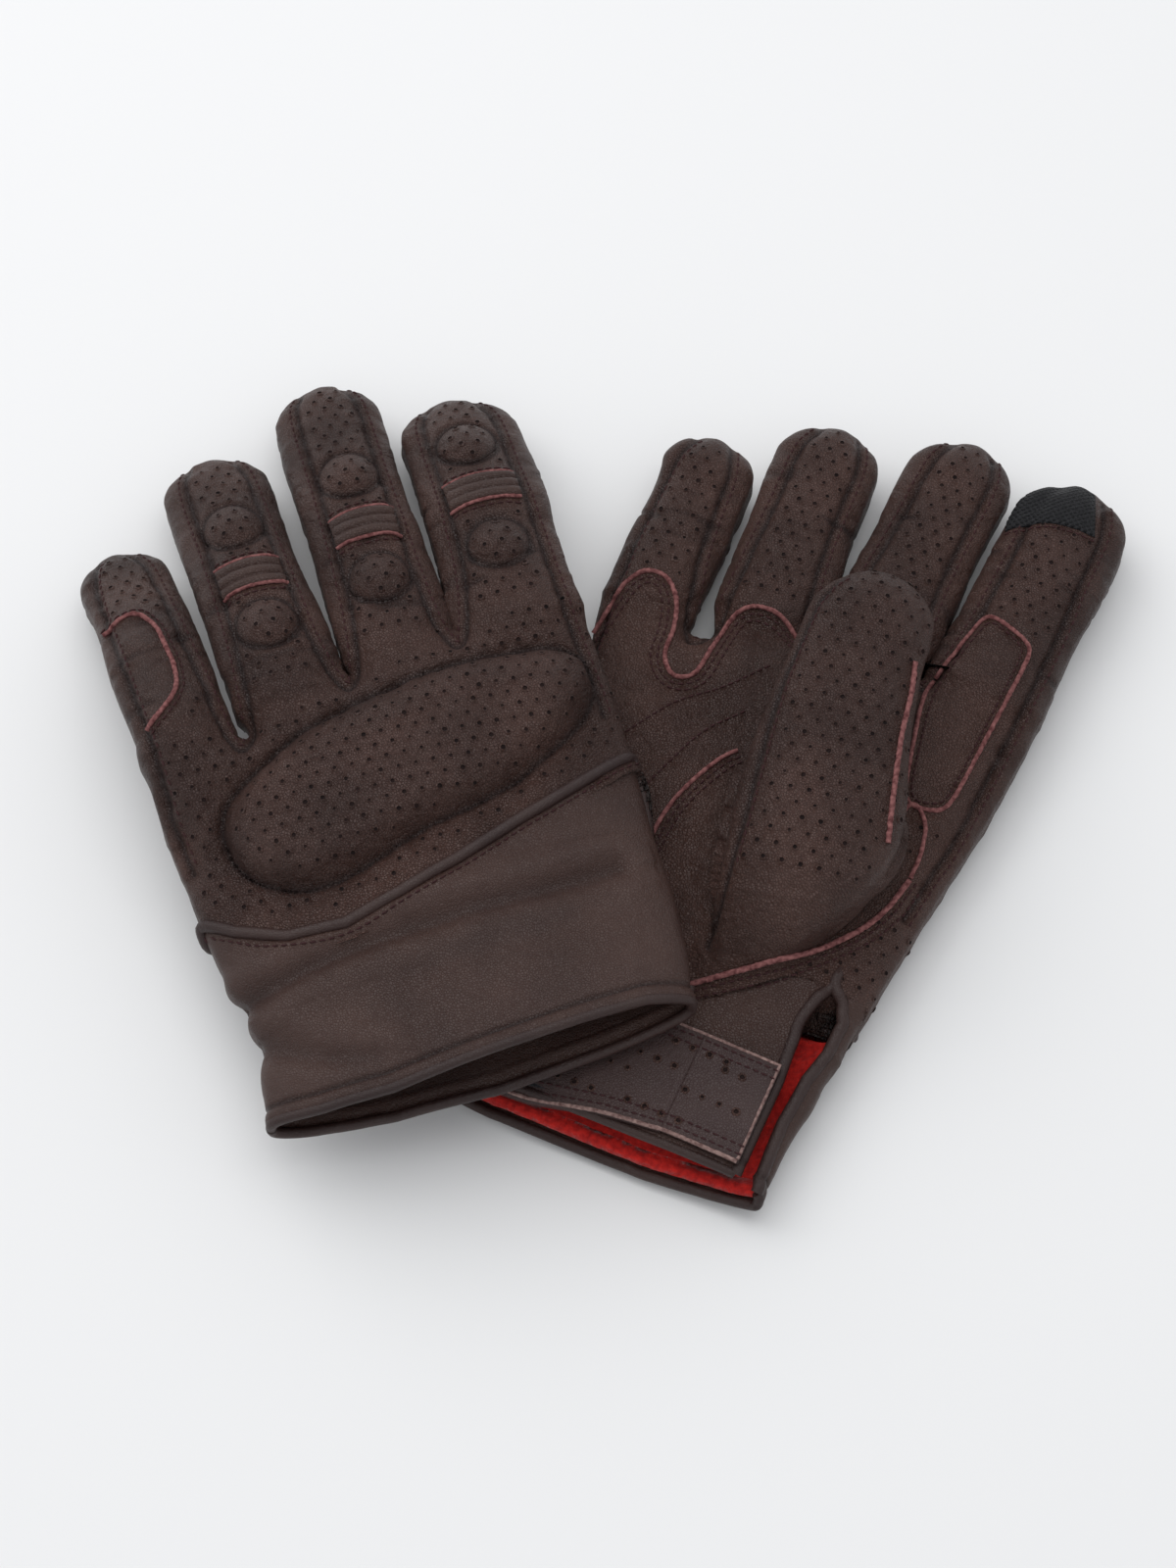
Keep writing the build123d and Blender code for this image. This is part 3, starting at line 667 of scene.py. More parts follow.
def nearest(points, lines):
    return np.min([gap_to(points, line) for line in lines], axis=0)


def inside(points, ring):
    """Which plan points lie inside a closed outline."""
    ring = np.asarray(ring)
    x, y = points[:, 0], points[:, 1]
    found = np.zeros(len(points), bool)
    for (x0, y0), (x1, y1) in zip(ring, np.roll(ring, -1, axis=0)):
        if y0 != y1:
            cross = (y0 > y) != (y1 > y)
            found ^= cross & (x < (x1 - x0) * (y - y0) / (y1 - y0) + x0)
    return found


# %% [markdown]
# ## Shaping a skin
# Every point moves along its normal: down into the seams, up between them, with broad swells, creases
# across the fingers at the knuckles and a groove round each pad. The left guard is a bean of foam
# under leather, so the skin rises steeply inside its outline and wrinkles along it.

# %% Shaping a skin
def pad_places(glove):
    """Centres of the round pads, from their CAD nodes: finger, part, plan centre."""
    found = []
    for name in FINGERS[1:]:
        for part in ("base", "tip"):
            p = glove.node_points(f"{name}_{part}_pad")
            found.append((name, part, (p.min(axis=0) + p.max(axis=0))[:2] / 2))
    return found


PAD_RADIUS = 7.9


def shape_skin(skin):
    """Move the points of a skin along their normals: seams, swells, pads' rings and creases; also store the shade
    painted into its seams and creases.
    """
    glove, p, n = skin.glove, skin.points, skin.normals
    flat = p[:, :2]
    back, palm = n[:, 2] < 0, n[:, 2] >= 0
    facing = ramp(np.abs(n[:, 2]), 0.05, 0.45)
    gap = np.full(len(p), 1e3)
    for side, chosen in (("back", back), ("palm", palm)):
        gap[chosen] = nearest(flat[chosen], seams[glove.name, side])
    if glove is LEFT:
        rumple = soft_noise(p, 3.1, 3) * np.exp(-gap / 3.4)
    else:
        rumple = soft_noise(p, 3.4, 4) * np.exp(-gap / 3.0)
    on_thumb = (np.abs(thumb(glove, p)) < 1.0) & (thumb_past(glove, p) > -26) & palm & (glove is RIGHT)
    if on_thumb.any():
        gap[on_thumb] = nearest(flat[on_thumb], [THUMB_SEAM])
    valley = -1.0 * bell(gap, 1.0)
    swell = 0.75 * (1 - bell(gap, 3.6)) - 0.2
    move = (valley + swell) * facing + 0.8 * rumple * facing
    move += swells(p, 0.55, 0.28, 0.12) * (0.5 + 0.5 * facing)
    crease = np.zeros(len(p))
    if skin.name != "hand":
        c = glove.chain[skin.name]
        s = (flat - c["knuckle"]) @ c["along"]
        t = (flat - c["knuckle"]) @ c["across"]
        fold = soft_noise(np.column_stack([t * 0.30, s, p[:, 2] * 0.35]), 2.3, 8 + FINGERS.index(skin.name))
        where = bell(s - c["bend_at"], 8) + 0.7 * bell(s - 2, 8) + 0.30
        crease = -np.maximum(fold - 0.25, 0) * where
        for name, part, centre in pad_places(glove):
            if name == skin.name:
                r = np.linalg.norm(flat - centre, axis=1)
                ring = np.where(back, bell(r - PAD_RADIUS - 0.4, 1.1), 0)
                move -= 0.8 * ring
                gap = np.minimum(gap, np.where(back, np.abs(r - PAD_RADIUS - 0.4), 1e3))
    move += 0.75 * crease
    if skin.name == "hand" and glove is LEFT:
        deep = np.where(inside(flat, GUARD) & back, gap_to(flat, GUARD), 0)
        bean = 5.3 * (1 - np.exp(-(deep / 3.6) ** 1.5))
        for x, y, r, h in HUMPS:
            bean += h * np.exp(-(((flat - (x, y)) ** 2).sum(axis=1)) / (2 * (r * 0.55) ** 2)) * (deep > 0)
        rows = np.column_stack([flat @ (0.94, 0.34) * 0.35, flat @ (-0.34, 0.94), np.zeros(len(p))])
        wrinkle = -0.5 * np.maximum(soft_noise(rows, 3.0, 21) - 0.1, 0) ** 1.6 * ramp(deep, 2.0, 7.0)
        move += np.where(deep > 0, bean + wrinkle - 0.3, 0)
    elif skin.name == "hand":
        deep = np.where(inside(flat, GUARD) & back, gap_to(flat, GUARD), 0)
        move += 2.4 * (1 - np.exp(-(deep / 3.6) ** 1.5))
    skin.points = p + n * move[:, None]
    # painted shade: the colour darkens along the seam valleys, round the pads' rings and in the knuckle creases, where
    # shade falls
    skin.tones["crease"] = np.clip(bell(gap, 0.75) - 1.2 * crease, 0, 1)


def surface_normals(points, faces):
    """Smooth point normals of quads."""
    corner = points[faces]
    facing = np.cross(corner[:, 2] - corner[:, 0], corner[:, 3] - corner[:, 1])
    total = np.zeros_like(points)
    for k in range(4):
        np.add.at(total, faces[:, k], facing)
    return total / np.maximum(np.linalg.norm(total, axis=1), 1e-9)[:, None]


TABLE_GAP = 0.00015         # m: a skin that rests on the table is flattened this far above it
for skin in skins.values():
    shape_skin(skin)
    place = skin.glove.to_world(skin.points)
    place[:, 2] = np.maximum(place[:, 2], TABLE_GAP)
    skin.points = skin.glove.to_glove(place)
    skin.normals = surface_normals(skin.points, skin.quads)
print("skins shaped")

# %% [markdown]
# ## Dividing the skins between bodies
# The fingers bend in two places, so each skin is cut across at a line where the bend has not begun
# or is already complete. Faces are dealt out by their middle, both halves keep the same points along
# the cut, and a lid inside closes each half. At any pose the halves stay in touch.

# %% Pieces
GLOVE_BODY = {"right": "right_hand", "left": "left_hand"}
made = {}


class Bend:
    """How a piece moves: it rides one body, or bends between two over a stretch of the finger."""

    def __init__(self, glove, first, second=None, low=None, high=None):
        self.glove, self.first, self.second, self.low, self.high = glove, first, second, low, high

    def apply(self, piece):
        if self.second is None:
            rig.ride(piece, self.first)
        else:
            ends = self.glove.to_world(np.array([self.low, self.high]))
            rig.blend(piece, self.first, self.second, start=tuple(ends[0]), end=tuple(ends[1]))


def piece_from(name, glove, points, faces, material=None, normals=None, tones=None, slot="leather"):
    """A Blender object from glove millimetres, with open rims closed by lids."""
    used = np.unique(faces)
    index = np.full(len(points), -1)
    index[used] = np.arange(len(used))
    if glove is LEFT:                       # its frame is a mirror image, so faces are turned round
        faces = faces[:, ::-1]
    mesh = bpy.data.meshes.new(name)
    mesh.from_pydata(glove.to_world(points[used]).tolist(), [], index[faces].tolist())
    # the stored values are painted shade, kept as point attributes that the leather shader reads
    for shade_tone, values in (tones or {}).items():
        layer = mesh.attributes.new(shade_tone, "FLOAT", "POINT")
        layer.data.foreach_set("value", values[used].astype(np.float32))
    mesh.polygons.foreach_set("use_smooth", [True] * len(mesh.polygons))
    piece = bpy.data.objects.new(name, mesh)
    bpy.context.scene.collection.objects.link(piece)
    close_rims(mesh, None if normals is None else glove.way(normals[used]))
    if material is not None:
        mesh.materials.append(material)
    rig.slot(piece, slot)
    made[name] = piece
    return piece


def close_rims(mesh, normals):
    """Fill each open rim with a fan to its middle, and keep the smooth normals outside it."""
    work = bmesh.new()
    work.from_mesh(mesh)
    work.verts.ensure_lookup_table()
    rims = [e for e in work.edges if e.is_boundary]
    count = len(work.verts)
    if rims:
        seen = set()
        for edge in rims:
            if edge in seen:
                continue
            group, stack = [], [edge]
            while stack:
                e = stack.pop()
                if e in seen:
                    continue
                seen.add(e)
                group.append(e)
                for v in e.verts:
                    stack += [f for f in v.link_edges if f.is_boundary and f not in seen]
            middle = sum((v.co for e in group for v in e.verts), Vector()) / (2 * len(group))
            hub = work.verts.new(middle)
            for e in group:
                loop = e.link_loops[0]
                a, b = loop.vert, loop.link_loop_next.vert
                if len({a, b, hub}) == 3:
                    work.faces.new((b, a, hub)).smooth = False
    work.to_mesh(mesh)
    added = len(work.verts) - count
    work.free()
    if normals is not None:
        extra = np.tile([[0.0, 0.0, 1.0]], (added, 1))
        mesh.normals_split_custom_set_from_vertices(np.vstack([normals, extra]).tolist())


print("piece helpers ready")

# %% [markdown]
# ## Where the skins are cut
# A finger leaves the hand just past its crotches, and its two parts meet half way along the first
# bone. Between two bodies a part bends over a short stretch, so the leather creases instead of
# tearing. The end of a finger's base is tucked a little way into the hand.

# %% Cuts and bends
def finger_cuts(glove, name):
    """Along a finger: where it leaves the hand, and the middle of its base part."""
    c = glove.chain[name]
    crotches = [(np.array(q) - c["knuckle"]) @ c["along"] for q in CROTCH_AT[glove.name]
                if abs((np.array(q) - c["knuckle"]) @ c["across"]) < c["half"] * 1.7]
    root = max(max(crotches) + 1.5, -9.0)
    return root, c["bend_at"] * 0.5 + 1.0


bends = {}
for glove in GLOVES:
    hand = GLOVE_BODY[glove.name]
    bends[glove.name, "hand"] = bends[glove.name, "guard"] = bends[glove.name, "cuff"] = Bend(glove, hand)
    for name, c in glove.chain.items():
        root, half_way = finger_cuts(glove, name)
        w = float(np.interp(0, c["rows"], c["centre_w"]))
        spot = lambda s: (*(c["knuckle"] + c["along"] * s), w)
        base, tip = (f"{glove.name}_{name}_{part}_part" for part in ("base", "tip"))
        bends[glove.name, name, "base"] = Bend(glove, hand, base, spot(root + 0.8), spot(half_way - 1.0))
        bends[glove.name, name, "tip"] = Bend(glove, base, tip, spot(half_way + 0.8), spot(c["bend_at"] + 10))
    line = glove.thumb_path
    hinge = glove.hinge("thumb_lift" if glove is RIGHT else "thumb_swing")
    way = np.append(line[-1, :2] - line[6, :2], 0)
    way = way / np.linalg.norm(way)
    bends[glove.name, "thumb"] = Bend(glove, hand, glove.name + "_thumb_part", hinge - way * 4, hinge + way * 14)


FINGER_TUCK, CUFF_TUCK = 4, 5.0         # mm of overlap where a finger and a cuff meet the hand


def deal_out(skin):
    """Names of the parts of a skin and the faces of each."""
    glove = skin.glove
    middle = skin.points[skin.quads].mean(axis=1)
    if skin.name != "hand":
        c = glove.chain[skin.name]
        s = (middle[:, :2] - c["knuckle"]) @ c["along"]
        root, half_way = finger_cuts(glove, skin.name)
        sunk = np.clip(root - (skin.points[:, :2] - c["knuckle"]) @ c["along"], 0, 5)
        skin.points = skin.points - skin.normals * (0.3 * sunk)[:, None]      # the end tucked inside the hand
        return {"base": (s >= root - FINGER_TUCK) & (s < half_way), "tip": s >= half_way}
    gone = np.zeros(len(middle), bool)
    near = np.argmin([np.abs((middle[:, :2] - c["knuckle"]) @ c["across"]) / c["half"]
                      for c in glove.chain.values()], axis=0)
    past, thumb_near = thumb_past(glove, middle), np.abs(thumb(glove, middle))
    for name, c in glove.chain.items():
        s = (middle[:, :2] - c["knuckle"]) @ c["along"]
        past_root = s >= finger_cuts(glove, name)[0]
        gone |= (near == FINGERS.index(name)) & past_root & ((thumb_near > 1.1) | (glove is LEFT))
    on_thumb = (past > -5) & (thumb_near < np.abs(slab(glove, middle))) & (thumb_near < 2.5) & (middle[:, 2] > 12)
    gone |= on_thumb
    cuff = middle[:, 1] < cuff_line(glove, middle) - CUFF_TUCK
    guard = inside(middle[:, :2], GUARD) & (skin.normals[skin.quads[:, 0], 2] < 0) & ~gone & ~cuff
    return {"hand": ~gone & ~cuff & ~guard, "guard": guard, "thumb": on_thumb & ~cuff}


BACK_SEAM = {"left": [(-60, 57), (-48, 48), (-36, 42.3), (-22, 41), (-8, 45), (6.6, 50), (22, 56.5), (37, 62.5),
                      (58, 72)],
             "right": [(-60, 52), (60, 52)]}
PALM_SEAM = {"left": [(-60, 50), (60, 50)],
             "right": [(-60, 40), (8, 41), (12, 43.5), (20, 49), (27, 54.8), (33, 60.5), (37, 62), (60, 62)]}


def cuff_line(glove, p):
    """Where the cuff seam runs, along the glove, at a point of the back or the palm."""
    back, palm = (np.interp(p[:, 0], *np.array(line[glove.name], float).T) for line in (BACK_SEAM, PALM_SEAM))
    share = ramp(p[:, 2], 4.0, 13.0)
    return back * (1 - share) + palm * share


parts = {}
for (hand, name), skin in skins.items():
    for part, chosen in deal_out(skin).items():
        key = (hand, name, part) if name != "hand" else (hand, part)
        parts[key] = (skin, chosen)
        print(*key, "faces", int(chosen.sum()))

# %% [markdown]
# ## The cuffs
# A cuff is a loop of smooth leather with a rolled hem. It is lofted: every ring is the hand's own
# rounded section, from the seam line down to the hem, so it starts exactly on the hand. The left
# loop is closed and has slumped into deep folds; the right one is slit at the side as a C.

# %% Cuff shape
HEM = {"left": dict(back=[(-50, -2), (-37, -3.5), (-20, -4), (4, -1), (28, 2.4), (43, 4), (56, 3)],
                    palm=[(-50, -2), (-20, -5), (5, -4.5), (30, -1), (56, 3)]),
       "right": dict(back=[(-50, 1), (-21, -1), (20, -0.5), (46, 1.5), (56, 1.5)], palm=[(-50, 3), (40, 4.5), (56, 1)])}
LIPS = {"left": [(58, 43.6), (54, 41.2), (47, 39.6), (38, 40.2), (30, 40.8), (5, 40.6)],
        "right": [(58, 43.8), (55, 47.5), (50, 49.6), (42, 49.2), (33, 47), (20, 46), (5, 46.5), (-2, 47.5)]}
FOLDS = [  # plan curve, depth, width: the soft folds of the left cuff
    (spline([(-50, 28.5), (-36, 32), (-23, 33.6), (-7, 34.9), (8, 36.2), (26, 37.4), (44, 39.5)], 80), 1.7, 2.6),
    (spline([(-52, 20), (-44, 15), (-34, 9), (-22, 4)], 40), 1.2, 2.6),
    (spline([(-10, 24), (8, 27), (26, 29.5), (40, 33)], 40), 0.5, 3.4),
]


def rounded(angles):
    """Across and up the unit rounded section that a hand and its cuff share."""
    return tuple(np.sign(q) * np.abs(q) ** (2 / 3) for q in (np.cos(angles), np.sin(angles)))


def even_angles(count, half, thick, start=0.0, end=2 * math.pi):
    """Angles round a rounded section at even steps along its outline."""
    fine = np.linspace(start, end, 3000)
    x, w = rounded(fine)
    run = np.concatenate([[0], np.cumsum(np.hypot(np.diff(half * x), np.diff(thick * w)))])
    return np.interp(np.linspace(0, run[-1], count), run, fine)


def section_angle(glove, x, y):
    """Angle on the palm side of the section where its outline passes x."""
    middle, half, _ = hand_profile(glove, x, y)
    return math.acos(float(np.clip((x - middle) / half, 0, 1)) ** 1.5)


def cuff_surface(glove, angles, share):
    """Points of the cuff: angles round it, and share from 0 at the seam to 1 at the hem."""
    xr, wr = rounded(angles)
    on_palm = ramp(wr, -0.35, 0.35)
    y = np.full_like(xr, 30.0)
    for _ in range(4):
        middle, half, thick = hand_profile(glove, 0 * y, y)
        x = middle + half * xr
        ends = []
        for back, palm in ((BACK_SEAM[glove.name], PALM_SEAM[glove.name]),
                           (HEM[glove.name]["back"], HEM[glove.name]["palm"])):
            back, palm = (np.interp(x, *np.array(line, float).T) for line in (back, palm))
            ends.append(back * (1 - on_palm) + palm * on_palm)
        y = ends[0] + (ends[1] - ends[0]) * share
    middle, half, thick = hand_profile(glove, 0 * y, y)
    x = middle + half * xr
    return np.stack([x, y, middle_w(glove, x, y) + thick * wr], axis=-1), ends[1]


def cuff_shape(glove):
    """The outer layer: a grid of points, rows from seam to hem, and the hem's place below each point."""
    round_count, rows = 330, 92
    grid, hem = [], []
    for i in range(rows):
        share = i / (rows - 1)
        if glove is LEFT:
            angles = even_angles(round_count + 1, 54, 9)[:-1]
        else:
            y_left, y_right = 62 - 57.5 * share, 62 - 61 * share
            x_left = float(np.interp(y_left, *np.array(LIPS["left"][::-1]).T))
            x_right = float(np.interp(y_right, *np.array(LIPS["right"][::-1]).T))
            angles = even_angles(round_count, 52, 7, section_angle(glove, x_left, y_left),
                                 2 * math.pi + section_angle(glove, x_right, y_right))
        points, ends = cuff_surface(glove, angles, share)
        grid.append(points), hem.append(ends)
    return np.array(grid), np.array(hem)


print("cuff outlines ready")

# %% [markdown]
# ## From a grid to leather with thickness
# A loft is a grid of points. Its normals carry the folds and the rolled hem, and a second grid behind
# the first gives the leather a real inside; the red fleece is a shell of its own behind that.

# %% Grids and shells
def grid_normals(grid, closed):
    if closed:
        round_step = np.roll(grid, -1, axis=1) - np.roll(grid, 1, axis=1)
    else:
        round_step = np.gradient(grid, axis=1)
    down_step = np.gradient(grid, axis=0)
    n = np.cross(down_step, round_step)
    n /= np.maximum(np.linalg.norm(n, axis=2), 1e-9)[..., None]
    centre = grid.mean(axis=1, keepdims=True)
    if ((grid - centre) * n).sum() < 0:
        n = -n
    return n


def grid_faces(rows, columns, closed):
    i, j = np.meshgrid(np.arange(rows - 1), np.arange(columns if closed else columns - 1), indexing="ij")
    k = (j + 1) % columns
    here, below = i * columns, (i + 1) * columns
    return np.stack([here + j, here + k, below + k, below + j], -1).reshape(-1, 4)


def shell(outer, inner, closed):
    """Points and faces of a closed wall between two grids of the same size."""
    rows, columns = outer.shape[:2]
    count = rows * columns
    faces = [grid_faces(rows, columns, closed), grid_faces(rows, columns, closed)[:, ::-1] + count]
    j = np.arange(columns if closed else columns - 1)
    k = (j + 1) % columns
    last = (rows - 1) * columns
    faces.append(np.stack([last + j, last + k, last + k + count, last + j + count], -1))
    faces.append(np.stack([k, j, j + count, k + count], -1))
    if not closed:
        i = np.arange(rows - 1) * columns
        faces.append(np.stack([i, i + columns, i + columns + count, i + count], -1))
        i = i + columns - 1
        faces.append(np.stack([i + columns, i, i + count, i + columns + count], -1))
    return np.vstack([outer.reshape(-1, 3), inner.reshape(-1, 3)]), np.vstack(faces)


def outward(points, faces):
    """Faces of a closed mesh turned so that they all point out of it."""
    corner = points[faces]
    area = np.cross(corner[:, 2] - corner[:, 0], corner[:, 3] - corner[:, 1])
    volume = (corner.mean(axis=1) * area).sum()
    return faces if volume > 0 else faces[:, ::-1]


LINING_ROWS = {"left": 0.55, "right": 0.94}       # how far down each cuff its fleece reaches, as a share


def lining_rows(glove, grid):
    return slice(0, int(len(grid) * LINING_ROWS[glove.name]))


def build_cuff(glove):
    """Outer leather with folds, rolled hem and a facing inside, and the lining behind it."""
    closed = glove is LEFT
    grid, hem = cuff_shape(glove)
    normals = grid_normals(grid, closed)
    p = grid.reshape(-1, 3)
    n = normals.reshape(-1, 3)
    up = p[:, 1] - hem.reshape(-1)                      # height above the hem
    facing = ramp(np.abs(n[:, 2]), 0.1, 0.6)
    move = swells(p, 0.5, 0.25, 0.10)
    # painted shade: the cuff darkens in the valleys of its folds and in the groove above the rolled hem
    shade_tone = np.zeros(len(p))
    if closed:
        back = n[:, 2] < 0.2
        calm = ramp(up, 2, 12)
        for line, depth, wide in FOLDS:
            gap = np.minimum(gap_to(p[:, :2], line), 12)
            above = p[:, 1] > np.interp(p[:, 0], line[:, 0], line[:, 1])
            swell = np.where(above, 0.75, 0.45) * bell(gap - 2.6 * wide, 1.5 * wide)
            here = np.where(back, 1.0, 0.35) * calm
            move += here * depth * (swell - bell(gap, wide))
            shade_tone += here * min(depth, 2) * 0.25 * bell(gap, 0.7 * wide)
        sway = np.column_stack([p[:, 0] * 0.35 + p[:, 1] * 0.2, p[:, 1], p[:, 2]])
        move += 0.5 * soft_noise(sway, 14, 31) * calm * facing + 0.15 * soft_noise(sway, 4.5, 32) * calm * facing
    else:
        move += 0.5 * soft_noise(p * (0.4, 1, 1), 7, 33) * ramp(up, 4, 14)
        rumple = soft_noise(p, 3.0, 34) * ramp(p[:, 1], 34, 46)
        move += 0.6 * rumple * (n[:, 2] > 0)
    roll = 0.55 * bell(up - 1.7, 1.5) - 0.75 * bell(up - 4.0, 0.55)
    move += roll
    # painted shade in the groove above the rolled hem
    shade_tone += 0.9 * bell(up - 4.0, 0.5)
    start = ramp(np.arange(len(grid)), 0, 6)[:, None].repeat(grid.shape[1], 1).reshape(-1)
    move = move * (0.35 + 0.65 * start) + 0.25
    outer = (p + n * move[:, None]).reshape(grid.shape)
    fresh = grid_normals(outer, closed)
    thick = 1.25 + 0.5 * bell(up, 3.0)
    inner = outer - fresh * thick.reshape(grid.shape[:2] + (1,))
    points, faces = shell(outer, inner, closed)
    faces = outward(points, faces)
    tones = dict(crease=np.clip(np.concatenate([shade_tone, 0 * shade_tone]), 0, 1))
    glove.cuff_grid, glove.cuff_normals = outer, fresh
    rows = lining_rows(glove, grid)
    trim = slice(None) if closed else slice(3, -3)
    near = outer[rows, trim] - fresh[rows, trim] * 1.95
    far = outer[rows, trim] - fresh[rows, trim] * 2.75
    fleece = soft_noise(near.reshape(-1, 3), 1.6, 40).reshape(near.shape[:2] + (1,)) * 0.22
    lining_points, lining_faces = shell(near, far + fresh[rows, trim] * -fleece, closed)
    return (points, faces, tones), (lining_points, outward(lining_points, lining_faces))


cuffs = {glove.name: build_cuff(glove) for glove in GLOVES}
for name, (leather_part, fleece_part) in cuffs.items():
    print(name, "cuff faces", len(leather_part[1]), "lining faces", len(fleece_part[1]))

# %% [markdown]
# ## Small helpers for node trees
# Materials and Geometry Nodes are both trees of nodes. One helper makes a node, gives it its settings
# and fills its inputs: a number becomes the input's value, a socket is linked to it.

# %% Node helpers
def fill(tree, target, values):
    """Give a node's inputs their values; a socket, or each of a list of them, is linked."""
    for label, value in values.items():
        for item in value if isinstance(value, list) else [value]:
            if isinstance(item, bpy.types.NodeSocket):
                tree.links.new(item, target.inputs[label])
            else:
                target.inputs[label].default_value = item
    return target


def node(tree, kind, values=None, **settings):
    new = tree.nodes.new(kind)
    for label, value in settings.items():
        setattr(new, label, value)
    return fill(tree, new, values or {})


def calc(tree, operation, a, b, clamp=False):
    """The result of a sum on two sockets or numbers."""
    return node(tree, "ShaderNodeMath", {0: a, 1: b}, operation=operation, use_clamp=clamp).outputs[0]


def mapped(tree, value, **ends):
    """A value stretched from one range to another."""
    ends = {label.replace("_", " "): number for label, number in ends.items()}
    return node(tree, "ShaderNodeMapRange", {"Value": value, **ends}).outputs[0]


def mixed(tree, share, a, b):
    """Two colours mixed by a share."""
    return node(tree, "ShaderNodeMix", {"Factor": share, "A": a, "B": b}, data_type="RGBA").outputs["Result"]


def noise(tree, **values):
    values = {label.replace("_", " "): value for label, value in values.items()}
    return node(tree, "ShaderNodeTexNoise", values).outputs["Fac"]


def new_tree(name, kind, inputs, outputs):
    """A node group, the sockets it is given, and the node that its results go to."""
    tree = bpy.data.node_groups.new(name, kind)
    for way, sockets in (("INPUT", inputs), ("OUTPUT", outputs)):
        for label, what, value in sockets:
            socket = tree.interface.new_socket(label, in_out=way, socket_type="NodeSocket" + what)
            if value is not None:
                socket.default_value = value
    return tree, tree.nodes.new("NodeGroupInput").outputs, tree.nodes.new("NodeGroupOutput")


def new_paint(name, values):
    """A material, its tree and its main shader."""
    paint = bpy.data.materials.new(name)
    paint.use_nodes = True
    tree = paint.node_tree
    return paint, tree, fill(tree, tree.nodes["Principled BSDF"], values)


print("node helpers ready")

# %% [markdown]
# ## Leather
# One grain group serves every leather: a pebbled cell pattern and two sizes of noise give the bump,
# broad noise shifts the brown towards plum or tan, and a value stored on the points paints shade into
# the valleys of seams, creases, folds and pad rims.

# %% Leather grain
# painted shade: the near-black brown that seams and creases are darkened towards
CREASE_SHADE_COLOUR = (0.011, 0.004, 0.0035, 1)


def grain_group():
    """Colour, roughness and height of a leather."""
    tree, given, end = new_tree(
        "leather_grain", "ShaderNodeTree",
        (("Dark", "Color", (0.035, 0.02, 0.018, 1)), ("Light", "Color", (0.08, 0.05, 0.04, 1)),
         ("Crease", "Float", 0.0), ("Grain Size", "Float", 1500.0), ("Wrinkle", "Float", 0.5)),
        (("Color", "Color", None), ("Roughness", "Float", None), ("Height", "Float", None)))
    place = node(tree, "ShaderNodeTexCoord").outputs["Object"]
    cells = node(tree, "ShaderNodeTexVoronoi", {"Vector": place, "Scale": given["Grain Size"]},
                 feature="DISTANCE_TO_EDGE").outputs["Distance"]
    pores = noise(tree, Vector=place, Scale=2600, Detail=3)
    broad = noise(tree, Vector=place, Scale=38, Detail=5)
    lines = noise(tree, Vector=place, Scale=260, Detail=6, Distortion=0.8)
    base = mixed(tree, mapped(tree, broad, From_Min=0.36, From_Max=0.64), given["Dark"], given["Light"])
    # painted shade: the stored value mixes the leather's colour towards the shade colour
    dark = calc(tree, "MULTIPLY", given["Crease"], 0.85, clamp=True)
    ridges = calc(tree, "MULTIPLY", lines, given["Wrinkle"])
    pebbles = calc(tree, "MULTIPLY", mapped(tree, cells, From_Max=0.16), 0.22)
    height = calc(tree, "ADD", calc(tree, "ADD", ridges, pebbles), calc(tree, "MULTIPLY", pores, 0.10))
    fill(tree, end, {"Color": mixed(tree, dark, base, CREASE_SHADE_COLOUR), "Height": height,
                     "Roughness": mapped(tree, lines, To_Min=0.32, To_Max=0.54)})
    return tree


GRAIN = grain_group()


def leather(name, dark, light, wrinkle=1.5, bump=0.55):
    paint, tree, shader = new_paint(name, {"Specular IOR Level": 0.34})
    # the painted shade of seams and creases, stored on the points
    crease = node(tree, "ShaderNodeAttribute", attribute_name="crease").outputs["Fac"]
    grain = node(tree, "ShaderNodeGroup", node_tree=GRAIN)
    fill(tree, grain, {"Dark": (*dark, 1), "Light": (*light, 1), "Crease": crease, "Wrinkle": wrinkle})
    lift = node(tree, "ShaderNodeBump", {"Strength": bump, "Distance": 0.0011, "Height": grain.outputs["Height"]})
    fill(tree, shader, {"Base Color": grain.outputs["Color"], "Roughness": grain.outputs["Roughness"],
                        "Normal": lift.outputs["Normal"]})
    return paint


LEATHER = leather("brown_leather", (0.034, 0.0138, 0.0098), (0.066, 0.031, 0.0235), bump=1.0)
SMOOTH = leather("smooth_leather", (0.031, 0.0130, 0.0095), (0.050, 0.024, 0.0182), 0.7, 0.6)
BINDING = leather("binding_leather", (0.022, 0.010, 0.009), (0.036, 0.018, 0.015), 0.4, 0.4)
STRAP_HIDE = leather("strap_leather", (0.031, 0.015, 0.014), (0.046, 0.025, 0.023), 0.5, 0.5)
print("leathers", [m.name for m in (LEATHER, SMOOTH, BINDING, STRAP_HIDE)])

# %% [markdown]
# ## Thread, raw hide, fleece and cloth
# The fibrous materials mix two colours by one noise, which also gives the bump. The touch tips add a
# fine grid of raised squares, turned to lie along the right glove.

# %% Fibrous materials
def fibre(name, low, high, scale, rough=0.9, bump=0.5, distance=0.0004, sheen=0.0):
    paint, tree, shader = new_paint(name, {"Specular IOR Level": 0.2, "Roughness": rough, "Sheen Weight": sheen})
    grain = noise(tree, Vector=node(tree, "ShaderNodeTexCoord").outputs["Object"], Scale=scale, Detail=5)
    colour = mixed(tree, mapped(tree, grain, From_Min=0.34, From_Max=0.66), (*low, 1), (*high, 1))
    lift = node(tree, "ShaderNodeBump", {"Strength": bump, "Distance": distance, "Height": grain})
    fill(tree, shader, {"Base Color": colour, "Normal": lift.outputs["Normal"]})
    return paint


